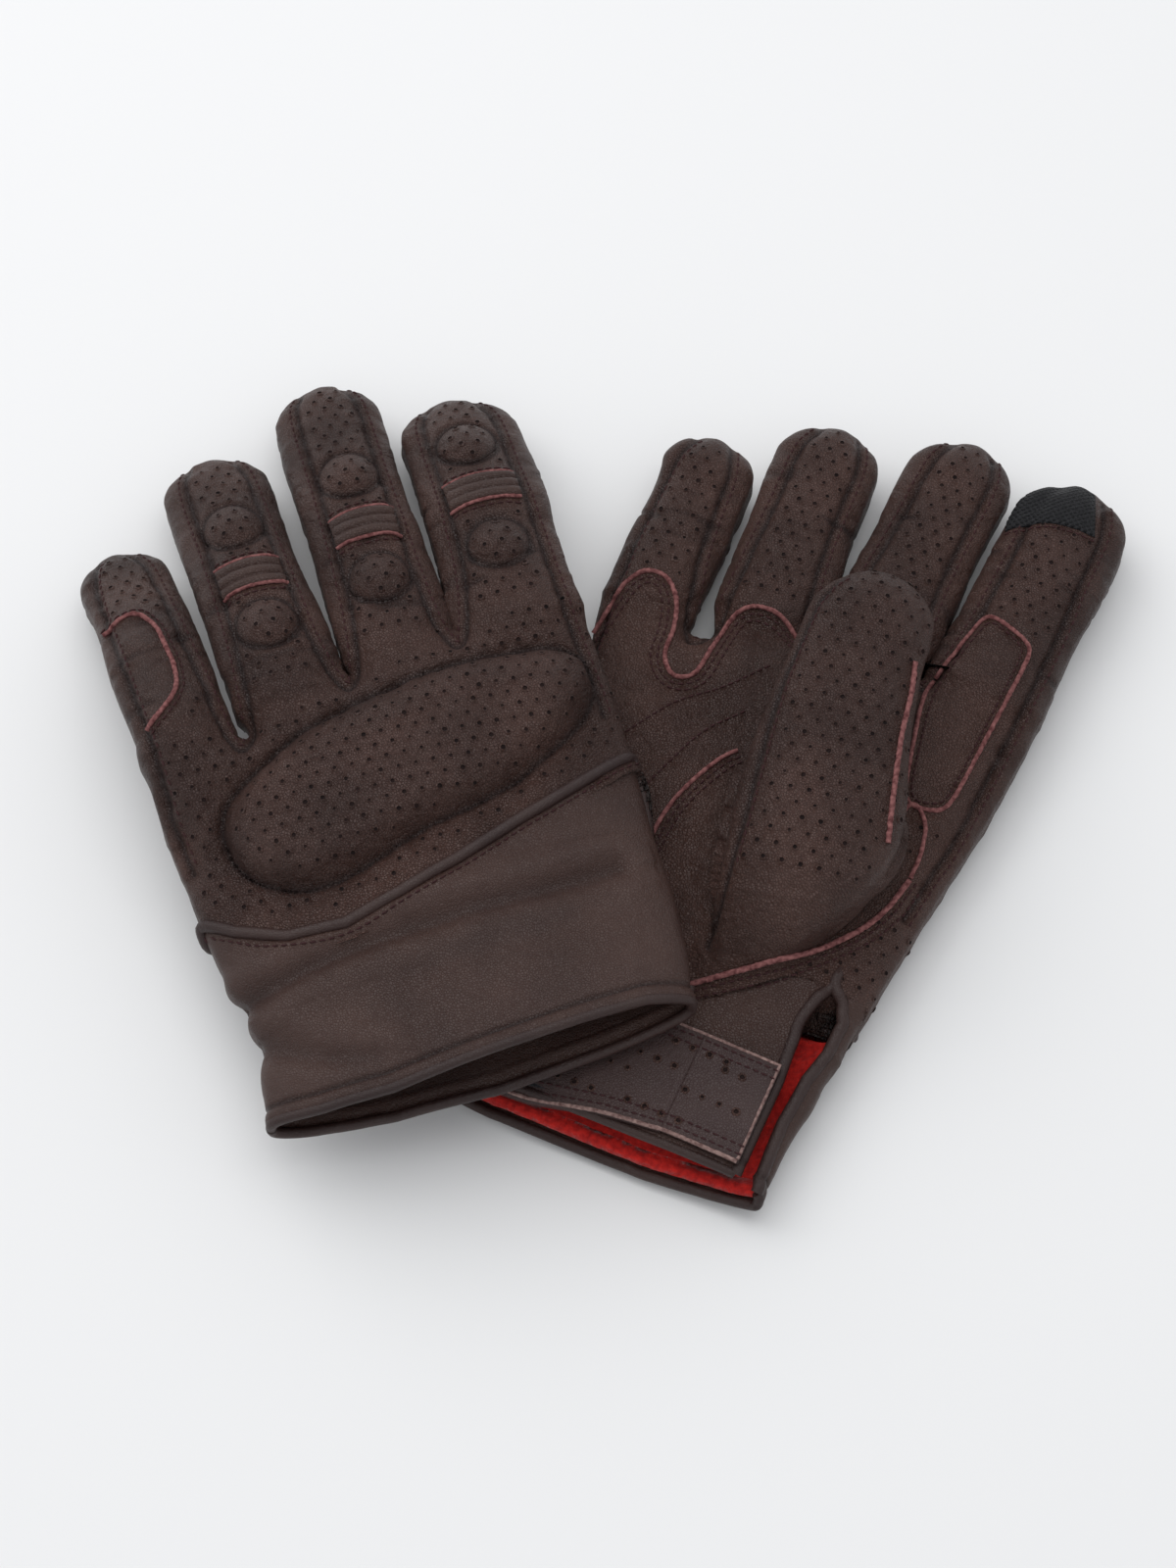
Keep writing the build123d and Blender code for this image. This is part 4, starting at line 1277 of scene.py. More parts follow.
RAW = fibre("raw_edge", (0.085, 0.026, 0.026), (0.25, 0.105, 0.10), 900, bump=0.8, distance=0.0003)
PALE_RAW = fibre("pale_raw_edge", (0.11, 0.06, 0.055), (0.30, 0.20, 0.18), 900, bump=0.8, distance=0.0003)
THREAD = fibre("thread", (0.022, 0.007, 0.008), (0.05, 0.017, 0.018), 3000, rough=0.7)
# painted shade: near-black for the wall and floor of each punched hole, standing for the shade inside it
HOLE_SHADE = fibre("punched_hole", (0.006, 0.003, 0.003), (0.018, 0.009, 0.008), 800)
FLEECE = fibre("red_fleece", (0.30, 0.004, 0.003), (0.52, 0.014, 0.009), 700, bump=0.9, distance=0.0006, sheen=0.3)
HOOKS = fibre("hook_tape", (0.006, 0.006, 0.007), (0.03, 0.03, 0.033), 2200, bump=1.0, distance=0.0005)
LOOPS = fibre("loop_tape", (0.010, 0.010, 0.012), (0.045, 0.045, 0.05), 1100, bump=1.0, distance=0.0006)


def touch_cloth():
    """Black conductive cloth: a fine grid of raised squares."""
    paint = fibre("touch_cloth", (0.004, 0.004, 0.005), (0.016, 0.016, 0.018), 1500, rough=0.6)
    tree = paint.node_tree
    turn = (0, 0, math.atan2(RIGHT.turn[1, 0], RIGHT.turn[0, 0]))
    place = node(tree, "ShaderNodeTexCoord").outputs["Object"]
    turned = node(tree, "ShaderNodeMapping", {"Vector": place, "Rotation": turn}).outputs["Vector"]
    bands = [node(tree, "ShaderNodeTexWave", {"Vector": turned, "Scale": 260}, bands_direction=way).outputs["Fac"]
             for way in ("X", "Y")]
    lift = node(tree, "ShaderNodeBump", {"Distance": 0.0006, "Height": calc(tree, "MULTIPLY", *bands)})
    fill(tree, tree.nodes["Principled BSDF"], {"Normal": lift.outputs["Normal"]})
    return paint


TOUCH = touch_cloth()
print("materials", len(bpy.data.materials))

# %% [markdown]
# ## Skins and cuffs as pieces
# Each part of a skin becomes a Blender object that rides its body, or bends between two. The cuffs
# and their linings ride the hands.

# %% Skins and cuffs as pieces
def piece_name(key):
    """The name of a part's leather piece."""
    if len(key) == 3:
        return "_".join(key[:2] + ("finger",) + key[2:])
    return "_".join(key) + ("_shell" if key[1] == "guard" else "_leather")


for key, (skin, chosen) in parts.items():
    piece = piece_from(piece_name(key), skin.glove, skin.points, skin.quads[chosen], LEATHER, skin.normals, skin.tones)
    bends[key].apply(piece)
for glove in GLOVES:
    (points, faces, tones), (fleece_points, fleece_faces) = cuffs[glove.name]
    cuff_leather = piece_from(glove.name + "_cuff_leather", glove, points, faces, SMOOTH, None, tones)
    lining = piece_from(glove.name + "_cuff_fleece", glove, fleece_points, fleece_faces, FLEECE, slot="lining")
    for piece in (cuff_leather, lining):
        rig.ride(piece, GLOVE_BODY[glove.name])
print("pieces", len(made))

# %% [markdown]
# ## Laying details on the leather
# Stitches, holes and edges are drawn in plan and dropped on the finished skins, so that each lies on
# the leather and bends with the part it landed on.

# %% Dropping onto the skins
grounds = {}
for key, (skin, chosen) in parts.items():
    faces = skin.quads[chosen]
    catcher = BVHTree.FromPolygons(skin.points.tolist(), faces.tolist())
    grounds[key] = (skin.glove, catcher, skin.points[np.unique(faces)])
for glove in GLOVES:
    points, faces, _ = cuffs[glove.name][0]
    grounds[glove.name, "cuff"] = (glove, BVHTree.FromPolygons(points.tolist(), faces.tolist()), points)
extents = {key: (p[:, :2].min(axis=0), p[:, :2].max(axis=0)) for key, (_, _, p) in grounds.items()}


def add_ground(key, glove, points, faces):
    """Let later details land on this piece too."""
    grounds[key] = (glove, BVHTree.FromPolygons(points.tolist(), faces.tolist()), points)
    extents[key] = (points[:, :2].min(axis=0), points[:, :2].max(axis=0))


def same_body(key):
    """The cuff and the guard move with the hand, so details run across them in one piece."""
    return (key[0], "hand") if key[-1] in ("cuff", "guard") else key


def drop(glove, flat, side, keys=None):
    """Where plan points land on the back or palm skins: points, normals and the part of each."""
    sign = -1.0 if side == "back" else 1.0
    keys = [k for k in (keys or grounds) if k[0] == glove.name and (keys or side == "palm" or k[-1] != "thumb")]
    spots, ways, owners = np.zeros((len(flat), 3)), np.zeros((len(flat), 3)), [None] * len(flat)
    for i, (x, y) in enumerate(flat):
        best = None
        for key in keys:
            low, high = extents[key]
            if low[0] <= x <= high[0] and low[1] <= y <= high[1]:
                hit = grounds[key][1].ray_cast(Vector((x, y, 90.0 * sign)), Vector((0, 0, -sign)))
                if hit[0] is not None and (best is None or hit[0].z * sign > best[0].z * sign):
                    best = hit
                    owners[i] = same_body(key)
        if best is not None:
            spots[i] = best[0]
            ways[i] = best[1] if best[1].z * sign > 0 else -best[1]
    return spots, ways, owners


def points_along(line, pitch):
    line = np.asarray(line, float)
    run = np.concatenate([[0], np.cumsum(np.linalg.norm(np.diff(line, axis=0), axis=1))])
    at = np.arange(pitch / 2, run[-1], pitch)
    return np.column_stack([np.interp(at, run, line[:, k]) for k in range(2)])


def beside(line, gap):
    """A curve at a constant distance to the left of another, in plan."""
    line = np.asarray(line, float)
    step = np.gradient(line, axis=0)
    step /= np.linalg.norm(step, axis=1)[:, None]
    return line + np.column_stack([-step[:, 1], step[:, 0]]) * gap


# %% [markdown]
# ## Node trees for what repeats
# Punched holes, stitches and edge cords repeat thousands of times, so Geometry Nodes make them: one
# tree stands a small crater on every point, one lays a thread bead along the seam's direction, and
# one draws a round cord with some fuzz along a path.

# %% Trees on points
def piece_tree(name, *inputs):
    shape = ("Geometry", "Geometry", None)
    return new_tree(name, "GeometryNodeTree", (shape,) + inputs, (shape,))


def painted(tree, shape, material):
    return node(tree, "GeometryNodeSetMaterial", {"Geometry": shape, "Material": material}).outputs[0]


def standing(tree, points, instance, scale):
    """The instance on every point, Z along facing and X along along, as plain geometry."""
    facing, along = (node(tree, "GeometryNodeInputNamedAttribute", {"Name": name}, data_type="FLOAT_VECTOR")
                     .outputs["Attribute"] for name in ("facing", "along"))
    up = node(tree, "FunctionNodeAlignRotationToVector", {"Vector": facing}, axis="Z").outputs[0]
    ahead = node(tree, "FunctionNodeAlignRotationToVector", {"Rotation": up, "Vector": along}, axis="X", pivot_axis="Z")
    place = node(tree, "GeometryNodeInstanceOnPoints", {"Points": points, "Instance": instance,
                                                        "Rotation": ahead.outputs[0], "Scale": scale})
    return node(tree, "GeometryNodeRealizeInstances", {0: place.outputs[0]}).outputs[0]


def hole_tree():
    """A crater: a raised rim of leather, and a wall and a floor painted near-black as the shade down a hole."""
    tree, given, end = piece_tree("punched_holes", ("Radius", "Float", 0.0005), ("Rim", "Float", 0.00012),
                                  ("Spread", "Float", 0.25), ("Seed", "Int", 3),
                                  ("Leather", "Material", None), ("Pit", "Material", None))
    sides = 8
    wide, narrow = (calc(tree, "MULTIPLY", given["Radius"], share) for share in (1.9, 0.72))
    outer, inner = (node(tree, "GeometryNodeMeshCone",
                         {"Vertices": sides, "Radius Top": given["Radius"], "Radius Bottom": foot,
                          "Depth": given["Rim"]},
                         fill_type="NONE").outputs["Mesh"] for foot in (wide, narrow))
    floor = node(tree, "GeometryNodeMeshCircle", {"Vertices": sides, "Radius": narrow},
                 fill_type="NGON").outputs["Mesh"]
    wall = node(tree, "GeometryNodeFlipFaces", {"Mesh": inner}).outputs[0]
    # the wall and floor take the painted shade of the hole
    dark = node(tree, "GeometryNodeJoinGeometry", {0: [floor, wall]}).outputs[0]
    crater = [painted(tree, outer, given["Leather"]), painted(tree, dark, given["Pit"])]
    whole = node(tree, "GeometryNodeJoinGeometry", {0: crater}).outputs[0]
    weld = node(tree, "GeometryNodeMergeByDistance", {"Geometry": whole, "Distance": 0.00001}).outputs[0]
    low, high = (calc(tree, way, 1.0, given["Spread"]) for way in ("SUBTRACT", "ADD"))
    size = node(tree, "FunctionNodeRandomValue", {2: low, 3: high, "Seed": given["Seed"]}).outputs[1]
    fill(tree, end, {0: standing(tree, given["Geometry"], weld, size)})
    return tree


def stitch_tree():
    """A thread bead, longer than it is thick."""
    tree, given, end = piece_tree("stitches", ("Length", "Float", 0.0018), ("Thickness", "Float", 0.00055),
                                  ("Thread", "Material", None))
    bead = node(tree, "GeometryNodeMeshUVSphere", {"Segments": 6, "Rings": 5, "Radius": 0.5}).outputs["Mesh"]
    size = node(tree, "ShaderNodeCombineXYZ", {"X": given["Length"], "Y": given["Thickness"], "Z": given["Thickness"]})
    beads = standing(tree, given["Geometry"], bead, size.outputs[0])
    fill(tree, end, {0: painted(tree, beads, given["Thread"])})
    return tree


def cord_tree():
    """A round cord along a path, its surface pushed in and out by noise."""
    tree, given, end = piece_tree("edge_cord", ("Radius", "Float", 0.0006), ("Fuzz", "Float", 0.0),
                                  ("Sides", "Int", 8), ("Material", "Material", None))
    line = node(tree, "GeometryNodeMeshToCurve", {"Mesh": given["Geometry"]}).outputs[0]
    upright = node(tree, "GeometryNodeSetCurveNormal", {"Curve": line}, mode="Z_UP").outputs[0]
    ring = node(tree, "GeometryNodeCurvePrimitiveCircle", {"Resolution": given["Sides"], "Radius": given["Radius"]})
    sweep = node(tree, "GeometryNodeCurveToMesh", {"Curve": upright, "Profile Curve": ring.outputs["Curve"],
                                                   "Fill Caps": True}).outputs[0]
    rough = calc(tree, "SUBTRACT", noise(tree, Scale=1200.0, Detail=3.0), 0.5)
    out = node(tree, "GeometryNodeInputNormal").outputs[0]
    push = node(tree, "ShaderNodeVectorMath", operation="SCALE")
    fill(tree, push, {0: out, "Scale": calc(tree, "MULTIPLY", rough, given["Fuzz"])})
    shift = node(tree, "GeometryNodeSetPosition", {"Geometry": sweep, "Offset": push.outputs[0]}).outputs[0]
    real = node(tree, "GeometryNodeRealizeInstances", {0: shift}).outputs[0]
    fill(tree, end, {0: painted(tree, real, given["Material"])})
    return tree


TREES = {"holes": hole_tree(), "stitches": stitch_tree(), "cord": cord_tree()}
print("trees", [tree.name for tree in TREES.values()])

# %% [markdown]
# ## Growing details
# A tree runs on a mesh of seed points, and its result is kept as a plain mesh. Holes and stitches are
# only gathered here, part by part; they grow at the end, in one mesh for each part.

# %% Growing details
def run_tree(name, glove, points, tree, values, edges=(), facing=None, along=None):
    """Grow a tree on points or a path and keep the result as a plain mesh."""
    mesh = bpy.data.meshes.new(name + "_seedmesh")
    mesh.from_pydata(glove.to_world(points).tolist(), list(edges), [])
    for label, value in (("facing", facing), ("along", along)):
        if value is not None:
            layer = mesh.attributes.new(label, "FLOAT_VECTOR", "POINT")
            layer.data.foreach_set("vector", glove.way(value).astype(np.float32).ravel())
    seed = bpy.data.objects.new(name + "_seed", mesh)
    bpy.context.scene.collection.objects.link(seed)
    grow = seed.modifiers.new("grow", "NODES")
    grow.node_group = tree
    for socket in tree.interface.items_tree:
        if socket.in_out == "INPUT" and socket.name in values:
            grow[socket.identifier] = values[socket.name]
    bpy.context.view_layer.update()
    result = bpy.data.meshes.new_from_object(seed.evaluated_get(bpy.context.evaluated_depsgraph_get()))
    result.name = name
    bpy.data.objects.remove(seed)
    piece = bpy.data.objects.new(name, result)
    bpy.context.scene.collection.objects.link(piece)
    made[name] = piece
    return piece


def group_by(owners):
    found = {}
    for i, key in enumerate(owners):
        if key is not None:
            found.setdefault(key, []).append(i)
    return found


store = {"holes": {}, "stitches": {}}


def add_points(kind, glove, flat, side, keys=None, along=None, lift=0.0):
    spots, ways, owners = drop(glove, flat, side, keys)
    along = np.tile([1.0, 0.0], (len(flat), 1)) if along is None else along
    for key, chosen in group_by(owners).items():
        level = np.column_stack([along[chosen], np.zeros(len(chosen))])
        store[kind].setdefault(key, []).append((spots[chosen] + ways[chosen] * lift, ways[chosen], level))


def stitch(glove, line, side="palm", pitch=2.3, keys=None, lift=0.08):
    flat = points_along(line, pitch)
    if len(flat) > 2:
        add_points("stitches", glove, flat, side, keys, np.gradient(flat, axis=0), lift)


cord_count = {}


def cord(glove, line, material, radius, fuzz, side, keys, lift, kind, slot="leather", calm=1):
    """A cord or raw edge along a plan curve, one piece for each part that it lies on."""
    spots, ways, owners = drop(glove, points_along(line, 0.6 if radius < 1.2 else 1.0), side, keys)
    run = 0
    while run < len(owners):
        end = run
        while end < len(owners) and owners[end] == owners[run]:
            end += 1
        if owners[run] is not None and end - run > 3:
            last = min(end + 1, len(owners)) if end < len(owners) and owners[end] is not None else end
            path = spots[run:last] + ways[run:last] * lift
            for _ in range(calm):
                path[1:-1] = (path[:-2] + path[1:-1] * 2 + path[2:]) / 4
            key = owners[run]
            name = "_".join(key) + "_" + kind
            cord_count[name] = cord_count.get(name, 0) + 1
            name += "_" + str(cord_count[name])
            values = {"Radius": radius * MM, "Fuzz": fuzz * MM, "Material": material}
            edges = [(i, i + 1) for i in range(len(path) - 1)]
            piece = run_tree(name, glove, path, TREES["cord"], values, edges)
            bends[key].apply(piece)
            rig.slot(piece, slot)
        run = end


print("details can be dropped on", len(grounds), "parts")

# %% [markdown]
# ## Pads and ribs on the fingers
# A round pad is a foam disc under leather: a low dome in a stitched ring. Each pad is laid on a smooth
# surface fitted to the finger under it. A rib panel is leather sewn over cords, a slab whose top has
# one ridge for each cord. Both come from curves in plan, so they sit exactly where the CAD says.

# %% Round pads
def bowl_terms(flat, middle):
    """What a smooth bowl over the plan is made of; its heights are a sum of these."""
    x, y = (flat - middle).T
    return np.column_stack([np.ones(len(x)), x, y, x * x, x * y, y * y])


def finger_pad(glove, name, part, centre):
    rings, around = 16, 56
    share = np.linspace(0.05, 1, rings)
    turn = np.linspace(0, 2 * math.pi, around, endpoint=False)
    spokes = np.stack([np.cos(turn), np.sin(turn)], -1)
    flat = (centre + (share[:, None, None] * PAD_RADIUS) * spokes).reshape(-1, 2)
    spots, _, owners = drop(glove, flat, "back", [(glove.name, name, "base"), (glove.name, name, "tip")])
    hit = np.array([o is not None for o in owners])
    middle = flat[hit].mean(axis=0)
    answer = np.linalg.lstsq(bowl_terms(flat[hit], middle), spots[hit, 2], rcond=None)[0]
    base = np.column_stack([flat, bowl_terms(flat, middle) @ answer])
    up = np.array([answer[1], answer[2], -1.0])
    up /= np.linalg.norm(up)
    q = np.repeat(share, around)
    dome = 3.0 * (1 - q ** 2.2) ** 0.7 - 0.35 + 0.16 * soft_noise(base, 2.2, 61) * (1 - q ** 4)
    outer = (base + up * dome[:, None]).reshape(rings, around, 3)
    under = (base - up * 1.1).reshape(rings, around, 3)
    count = rings * around
    j = np.arange(around)
    k = (j + 1) % around
    last = count - around
    faces = np.vstack([grid_faces(rings, around, True), grid_faces(rings, around, True)[:, ::-1] + count,
                       np.stack([last + j, last + k, last + k + count, last + j + count], -1)])
    points = np.vstack([outer.reshape(-1, 3), under.reshape(-1, 3)])
    faces = outward(points, faces)
    # painted shade round the pad's edge, where the dome meets the leather
    rim = bell(1 - np.concatenate([q, q]), 0.07)
    label = f"{glove.name}_{name}_{part}_pad_dome"
    piece = piece_from(label, glove, points, faces, LEATHER, None, dict(crease=rim), slot="pad_leather")
    bends[glove.name, name, part].apply(piece)
    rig.padded(piece, 0.8)
    key = (glove.name, name, part, "pad")
    bends[key] = bends[glove.name, name, part]
    add_ground(key, glove, points, faces)
    return piece


for glove in GLOVES:
    for name, part, centre in pad_places(glove):
        finger_pad(glove, name, part, centre)
    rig.padded(made[glove.name + "_guard_shell"], 0.9)
    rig.slot(made[glove.name + "_guard_shell"], "guard_leather")
print("pads", sum("pad_dome" in name for name in made))


# %% Pieces laid on the leather
def laid(glove, flat, side, keys, calm=8):
    """A plan grid on the leather: smooth points and the direction out of it."""
    rows, columns = flat.shape[:2]
    plan = flat.reshape(-1, 2)
    spots, _, owners = drop(glove, plan, side, keys)
    known = [o is not None for o in owners]
    level = float(np.mean(spots[known, 2]))
    for i in np.flatnonzero(~np.array(known)):
        near = min((grounds[k][1].find_nearest(Vector((*plan[i], level))) for k in keys), key=lambda hit: hit[3])
        spots[i] = near[0]
    grid = spots.reshape(rows, columns, 3)
    for _ in range(calm):
        wide = np.pad(grid, ((1, 1), (1, 1), (0, 0)), mode="edge")
        even = (wide[:-2, 1:-1] + wide[2:, 1:-1] + wide[1:-1, :-2] + wide[1:-1, 2:]) / 4
        grid[..., 2] = even[..., 2]
    out = np.cross(np.gradient(grid, axis=1), np.gradient(grid, axis=0))
    out /= np.maximum(np.linalg.norm(out, axis=2), 1e-9)[..., None]
    if (out[..., 2].sum() > 0) != (side == "palm"):
        out = -out
    return grid, out


def overlay(name, glove, side, flat, top, foot, material, slot, keys, calm=8, bend=None):
    """A closed slab laid on the leather, from foot to top above it."""
    grid, out = laid(glove, flat, side, keys, calm)
    rows, columns = flat.shape[:2]
    top, foot = np.broadcast_to(top, (rows, columns)), np.broadcast_to(foot, (rows, columns))
    points, faces = shell(grid + out * top[..., None], grid + out * foot[..., None], False)
    piece = piece_from(name, glove, points, outward(points, faces), material, slot=slot)
    if bend is not None:
        bend.apply(piece)
    if "rib_panel" not in name:
        sheet_grids[name] = (grid, [piece_name(keys[0])])
    return piece, grid, out


sheet_grids = {}


def ruled(low, high, rows, columns):
    a, b = (spline(line, columns) for line in (low, high))
    v = np.linspace(0, 1, rows)[:, None, None]
    return a[None] * (1 - v) + b[None] * v


def rolled(rows, columns, soft=0.35):
    """A height factor that falls at the rim of a slab, as a turned edge does."""
    v, u = np.meshgrid(np.linspace(0, 1, rows), np.linspace(0, 1, columns), indexing="ij")
    rim = np.minimum(np.minimum(v, 1 - v) * rows, np.minimum(u, 1 - u) * columns)
    return 1 - soft * bell(rim, 1.2)


# %% Rib panels
def rib_panel(glove, name):
    p = glove.node_points(name + "_ribs")
    centre = (p.min(axis=0) + p.max(axis=0))[:2] / 2
    c = glove.chain[name]
    s = float((centre - c["knuckle"]) @ c["along"])
    edge = lambda d: at_finger(glove, name, (-0.60, s + d), (0, s + d + 0.8), (0.60, s + d))
    rows, columns = 34, 26
    flat = ruled(edge(-4.9), edge(4.9), rows, columns)
    v = np.linspace(0, 1, rows)[:, None]
    ridges = 0.35 + 1.25 * np.abs(np.sin(np.pi * 3 * v)) ** 0.6 + np.zeros((1, columns))
    keys = [(glove.name, name, "base"), (glove.name, name, "tip")]
    overlay(f"{glove.name}_{name}_rib_panel", glove, "back", flat, ridges * rolled(rows, columns), -0.5,
            SMOOTH, "leather", keys, 14, bends[glove.name, name, "tip"])
    for d, way in ((-5.1, -1), (5.1, 1)):
        cord(glove, spline(edge(d), 40), RAW, 0.5, 0.55, "back", keys, 0.45, "rib_edge", calm=4)
        stitch(glove, spline(edge(d + way * 1.9), 40), "back", keys=keys)
    return s


rib_at = {(g.name, name): rib_panel(g, name) for g in GLOVES for name in FINGERS[1:]}
print("rib panels", len(rib_at))

# %% [markdown]
# ## Patches, strap and touch tip
# The palm and index patches have raw edges that show the pale inside of the hide, held by rows of
# stitches. The strap is a flat leather tab over a touch-close pair; its free end lifts about a line
# across the cuff. The touch tip is woven cloth laid over the index fingertip.

# %% Patch edges and seams on the right palm
thumb_only, palm_keys = [("right", "thumb")], [k for k in grounds if k[0] == "right" and k[-1] not in ("thumb", "cuff")]
top_edge = spline(PALM_PATCH[1:], 200)
cord(RIGHT, top_edge, RAW, 0.65, 0.7, "palm", palm_keys, 0.2, "patch_edge", "patch_leather", 2)
for gap in (-1.9, -3.6):
    stitch(RIGHT, beside(top_edge, gap), "palm", keys=palm_keys)
cord(RIGHT, PATCH_LOW, RAW, 0.6, 0.6, "palm", palm_keys, 0.2, "patch_edge", "patch_leather", 2)
for gap in (1.9, 3.4):
    stitch(RIGHT, beside(PATCH_LOW, gap), "palm", keys=palm_keys)
for curve in ([(-33, 97), (-30, 100.9), (-21.9, 113.7), (-12.4, 122.7), (-4.7, 132)],
              [(-25, 75), (-21.8, 80.3), (-16.9, 96), (-11.9, 109), (-5, 117.9)]):
    stitch(RIGHT, spline(curve, 80), "palm", 2.1, palm_keys)
cord(RIGHT, INDEX_PATCH, RAW, 0.6, 0.6, "palm", palm_keys, 0.2, "index_patch_edge", "patch_leather", 2)
centre = INDEX_PATCH.mean(axis=0)
stitch(RIGHT, centre + (INDEX_PATCH - centre) * (0.80, 0.94), "palm", 2.1, palm_keys)
print("right palm edges", len(cord_count))

# %% Thumb seams
middle_keys = [("right", "middle", "base"), ("right", "middle", "tip")]
tip_edge = spline([(21.5, 159.9), (26.3, 158.3), (28.4, 151.1), (30.5, 143)], 40)
long_edge = spline([(31.4, 138), (33.8, 129), (35.6, 119), (38.4, 108), (41.2, 98), (43.6, 90)], 90)
crook_edge = spline([(41.4, 106), (43.2, 111.2), (47.9, 107.4), (49.9, 99.4), (50, 92)], 40)
cord(RIGHT, tip_edge, RAW, 0.6, 0.7, "palm", middle_keys, 0.2, "root_edge", calm=2)
cord(RIGHT, long_edge, RAW, 0.7, 0.8, "palm", thumb_only, 0.3, "edge", calm=6)
cord(RIGHT, crook_edge, RAW, 0.6, 0.6, "palm", palm_keys, 0.2, "root_edge", calm=2)
stitch(RIGHT, beside(THUMB_SEAM, 1.7), "palm", 2.2, thumb_only)
heel_keys = [("right", "hand"), ("right", "cuff"), ("right", "index", "base")]
heel_line = spline([(12, 43.5), (20, 49), (27, 54.4), (33, 60), (39, 66.6), (44.5, 74), (48, 82), (50, 92)], 160)
cord(RIGHT, heel_line, RAW, 0.75, 0.8, "palm", heel_keys, 0.5, "heel_edge", calm=30)
for gap in (-1.8, -3.6):
    stitch(RIGHT, beside(heel_line, gap), "palm", 2.2, heel_keys)
print("thumb edges done")


# %% Strap of the right glove
def band(left, right, low, high, rows, columns):
    x = np.linspace(left, right, columns)
    low, high = (np.interp(x, *np.array(line, float).T) for line in (low, high))
    v = np.linspace(0, 1, rows)[:, None]
    return np.stack([x + 0 * v, low * (1 - v) + high * v], -1)


STRAP_LOW_EDGE = [(-36, 0.8), (-12, 1.8), (3.3, 3.9), (21, 5.9), (40.5, 6.0)]
STRAP_TOP_EDGE = [(-36, 30), (-10, 32.2), (10, 33), (40.5, 33.2)]
inset = lambda line, d: [(x, y + d) for x, y in line]
cuff_only = {g.name: [(g.name, "cuff")] for g in GLOVES}
lifting = Bend(RIGHT, "right_hand", "right_strap_part", (20.4, 19, 14), (25.5, 19, 14))
strap = {}
whole = band(-36, 40.5, STRAP_LOW_EDGE, STRAP_TOP_EDGE, 40, 154)
grid, out = laid(RIGHT, whole, "palm", cuff_only["right"], 60)
for name, columns, foot in (("anchor", slice(0, 114), -0.2), ("tab", slice(113, 154), 1.35)):
    part_grid, part_out = grid[:, columns], out[:, columns]
    soft = rolled(*whole.shape[:2], 0.2)[:, columns]
    points, faces = shell(part_grid + part_out * (3.1 * soft)[..., None], part_grid + part_out * foot, False)
    faces = outward(points, faces)
    piece = piece_from(f"right_strap_{name}_leather", RIGHT, points, faces, STRAP_HIDE)
    key = ("right", "strap", name)
    bends[key] = bends["right", "hand"] if name == "anchor" else lifting
    bends[key].apply(piece)
    add_ground(key, RIGHT, points, faces)
    sheet_grids[f"right_strap_{name}_leather"] = (part_grid, ["right_cuff_leather"])
strap_keys = [("right", "strap", "anchor"), ("right", "strap", "tab")]
for line, d in ((STRAP_TOP_EDGE, -0.3), (STRAP_LOW_EDGE, 0.3)):
    cord(RIGHT, inset(line, d), PALE_RAW, 0.55, 0.5, "palm", strap_keys, -0.25, "strap_edge", calm=2)
    for gap in (2.0, 4.2):
        stitch(RIGHT, inset(line, -gap if d < 0 else gap), "palm", 2.2, strap_keys, 0.0)
cord(RIGHT, [(40.1, 6.5), (40.1, 33)], PALE_RAW, 0.5, 0.5, "palm", strap_keys, -0.3, "strap_edge", calm=2)
dots = [(x, y) for x0, y in ((15, 28), (28.7, 26), (22, 17.4), (10.4, 9.6), (4, 22), (-6, 17), (-16, 24), (-12, 9))
        for x in np.arange(x0, x0 + 14, 4.4) if x < 37]
add_points("holes", RIGHT, np.array(dots), "palm", strap_keys)
tape_low, tape_top = inset(STRAP_LOW_EDGE, 3), inset(STRAP_TOP_EDGE, -3)
for name, start, columns, top, foot, paint, slot, bend in (
        ("right_loop_patch_tape", -20, 60, 0.65, -0.2, LOOPS, "loop", bends["right", "hand"]),
        ("right_hook_patch_tape", 23, 20, 1.45, 0.75, HOOKS, "hook", lifting)):
    overlay(name, RIGHT, "palm", band(start, 37.5, tape_low, tape_top, 24, columns), top, foot,
            paint, slot, cuff_only["right"], 40, bend)
print("strap", list(strap_keys))

# %% Strap under the left cuff, and the touch tips
LEFT_LOW, LEFT_TOP = [(-36, 6), (40.5, 7)], [(-36, 30), (40.5, 33)]
overlay("left_strap_leather", LEFT, "palm", band(-36, 40.5, LEFT_LOW, LEFT_TOP, 30, 80),
        2.6 * rolled(30, 80, 0.2), 0.7, STRAP_HIDE, "leather", cuff_only["left"], 60, bends["left", "hand"])
overlay("left_strap_fastener_tape", LEFT, "palm", band(20, 37.5, inset(LEFT_LOW, 3), inset(LEFT_TOP, -3), 20, 30),
        0.8, -0.3, LOOPS, "loop", cuff_only["left"], 60, bends["left", "hand"])
index_tip = {g.name: [(g.name, "index", "tip")] for g in GLOVES}
tip_places = {"right": ([(35.2, 196.6), (43, 201), (50, 202.6), (57.3, 203)],
                        [(33.6, 205), (37.6, 212.3), (46, 218.4), (52.5, 217.2)])}
reach = LEFT.chain["index"]["reach"]
tip_places["left"] = (at_finger(LEFT, "index", (-0.9, reach - 15), (0, reach - 14), (0.9, reach - 15)),
                      at_finger(LEFT, "index", (-0.6, reach - 3), (0, reach - 1), (0.6, reach - 3)))
for glove in GLOVES:
    low, high = tip_places[glove.name]
    overlay(glove.name + "_touch_tip_cloth", glove, "palm", ruled(low, high, 30, 36), 0.6 * rolled(30, 36, 0.5),
            -0.6, TOUCH, "touch", index_tip[glove.name], 6, bends[glove.name, "index", "tip"])
    stitch(glove, spline(low, 40) - (0, 1.2), "palm", 2.0, index_tip[glove.name])
print("overlays done")

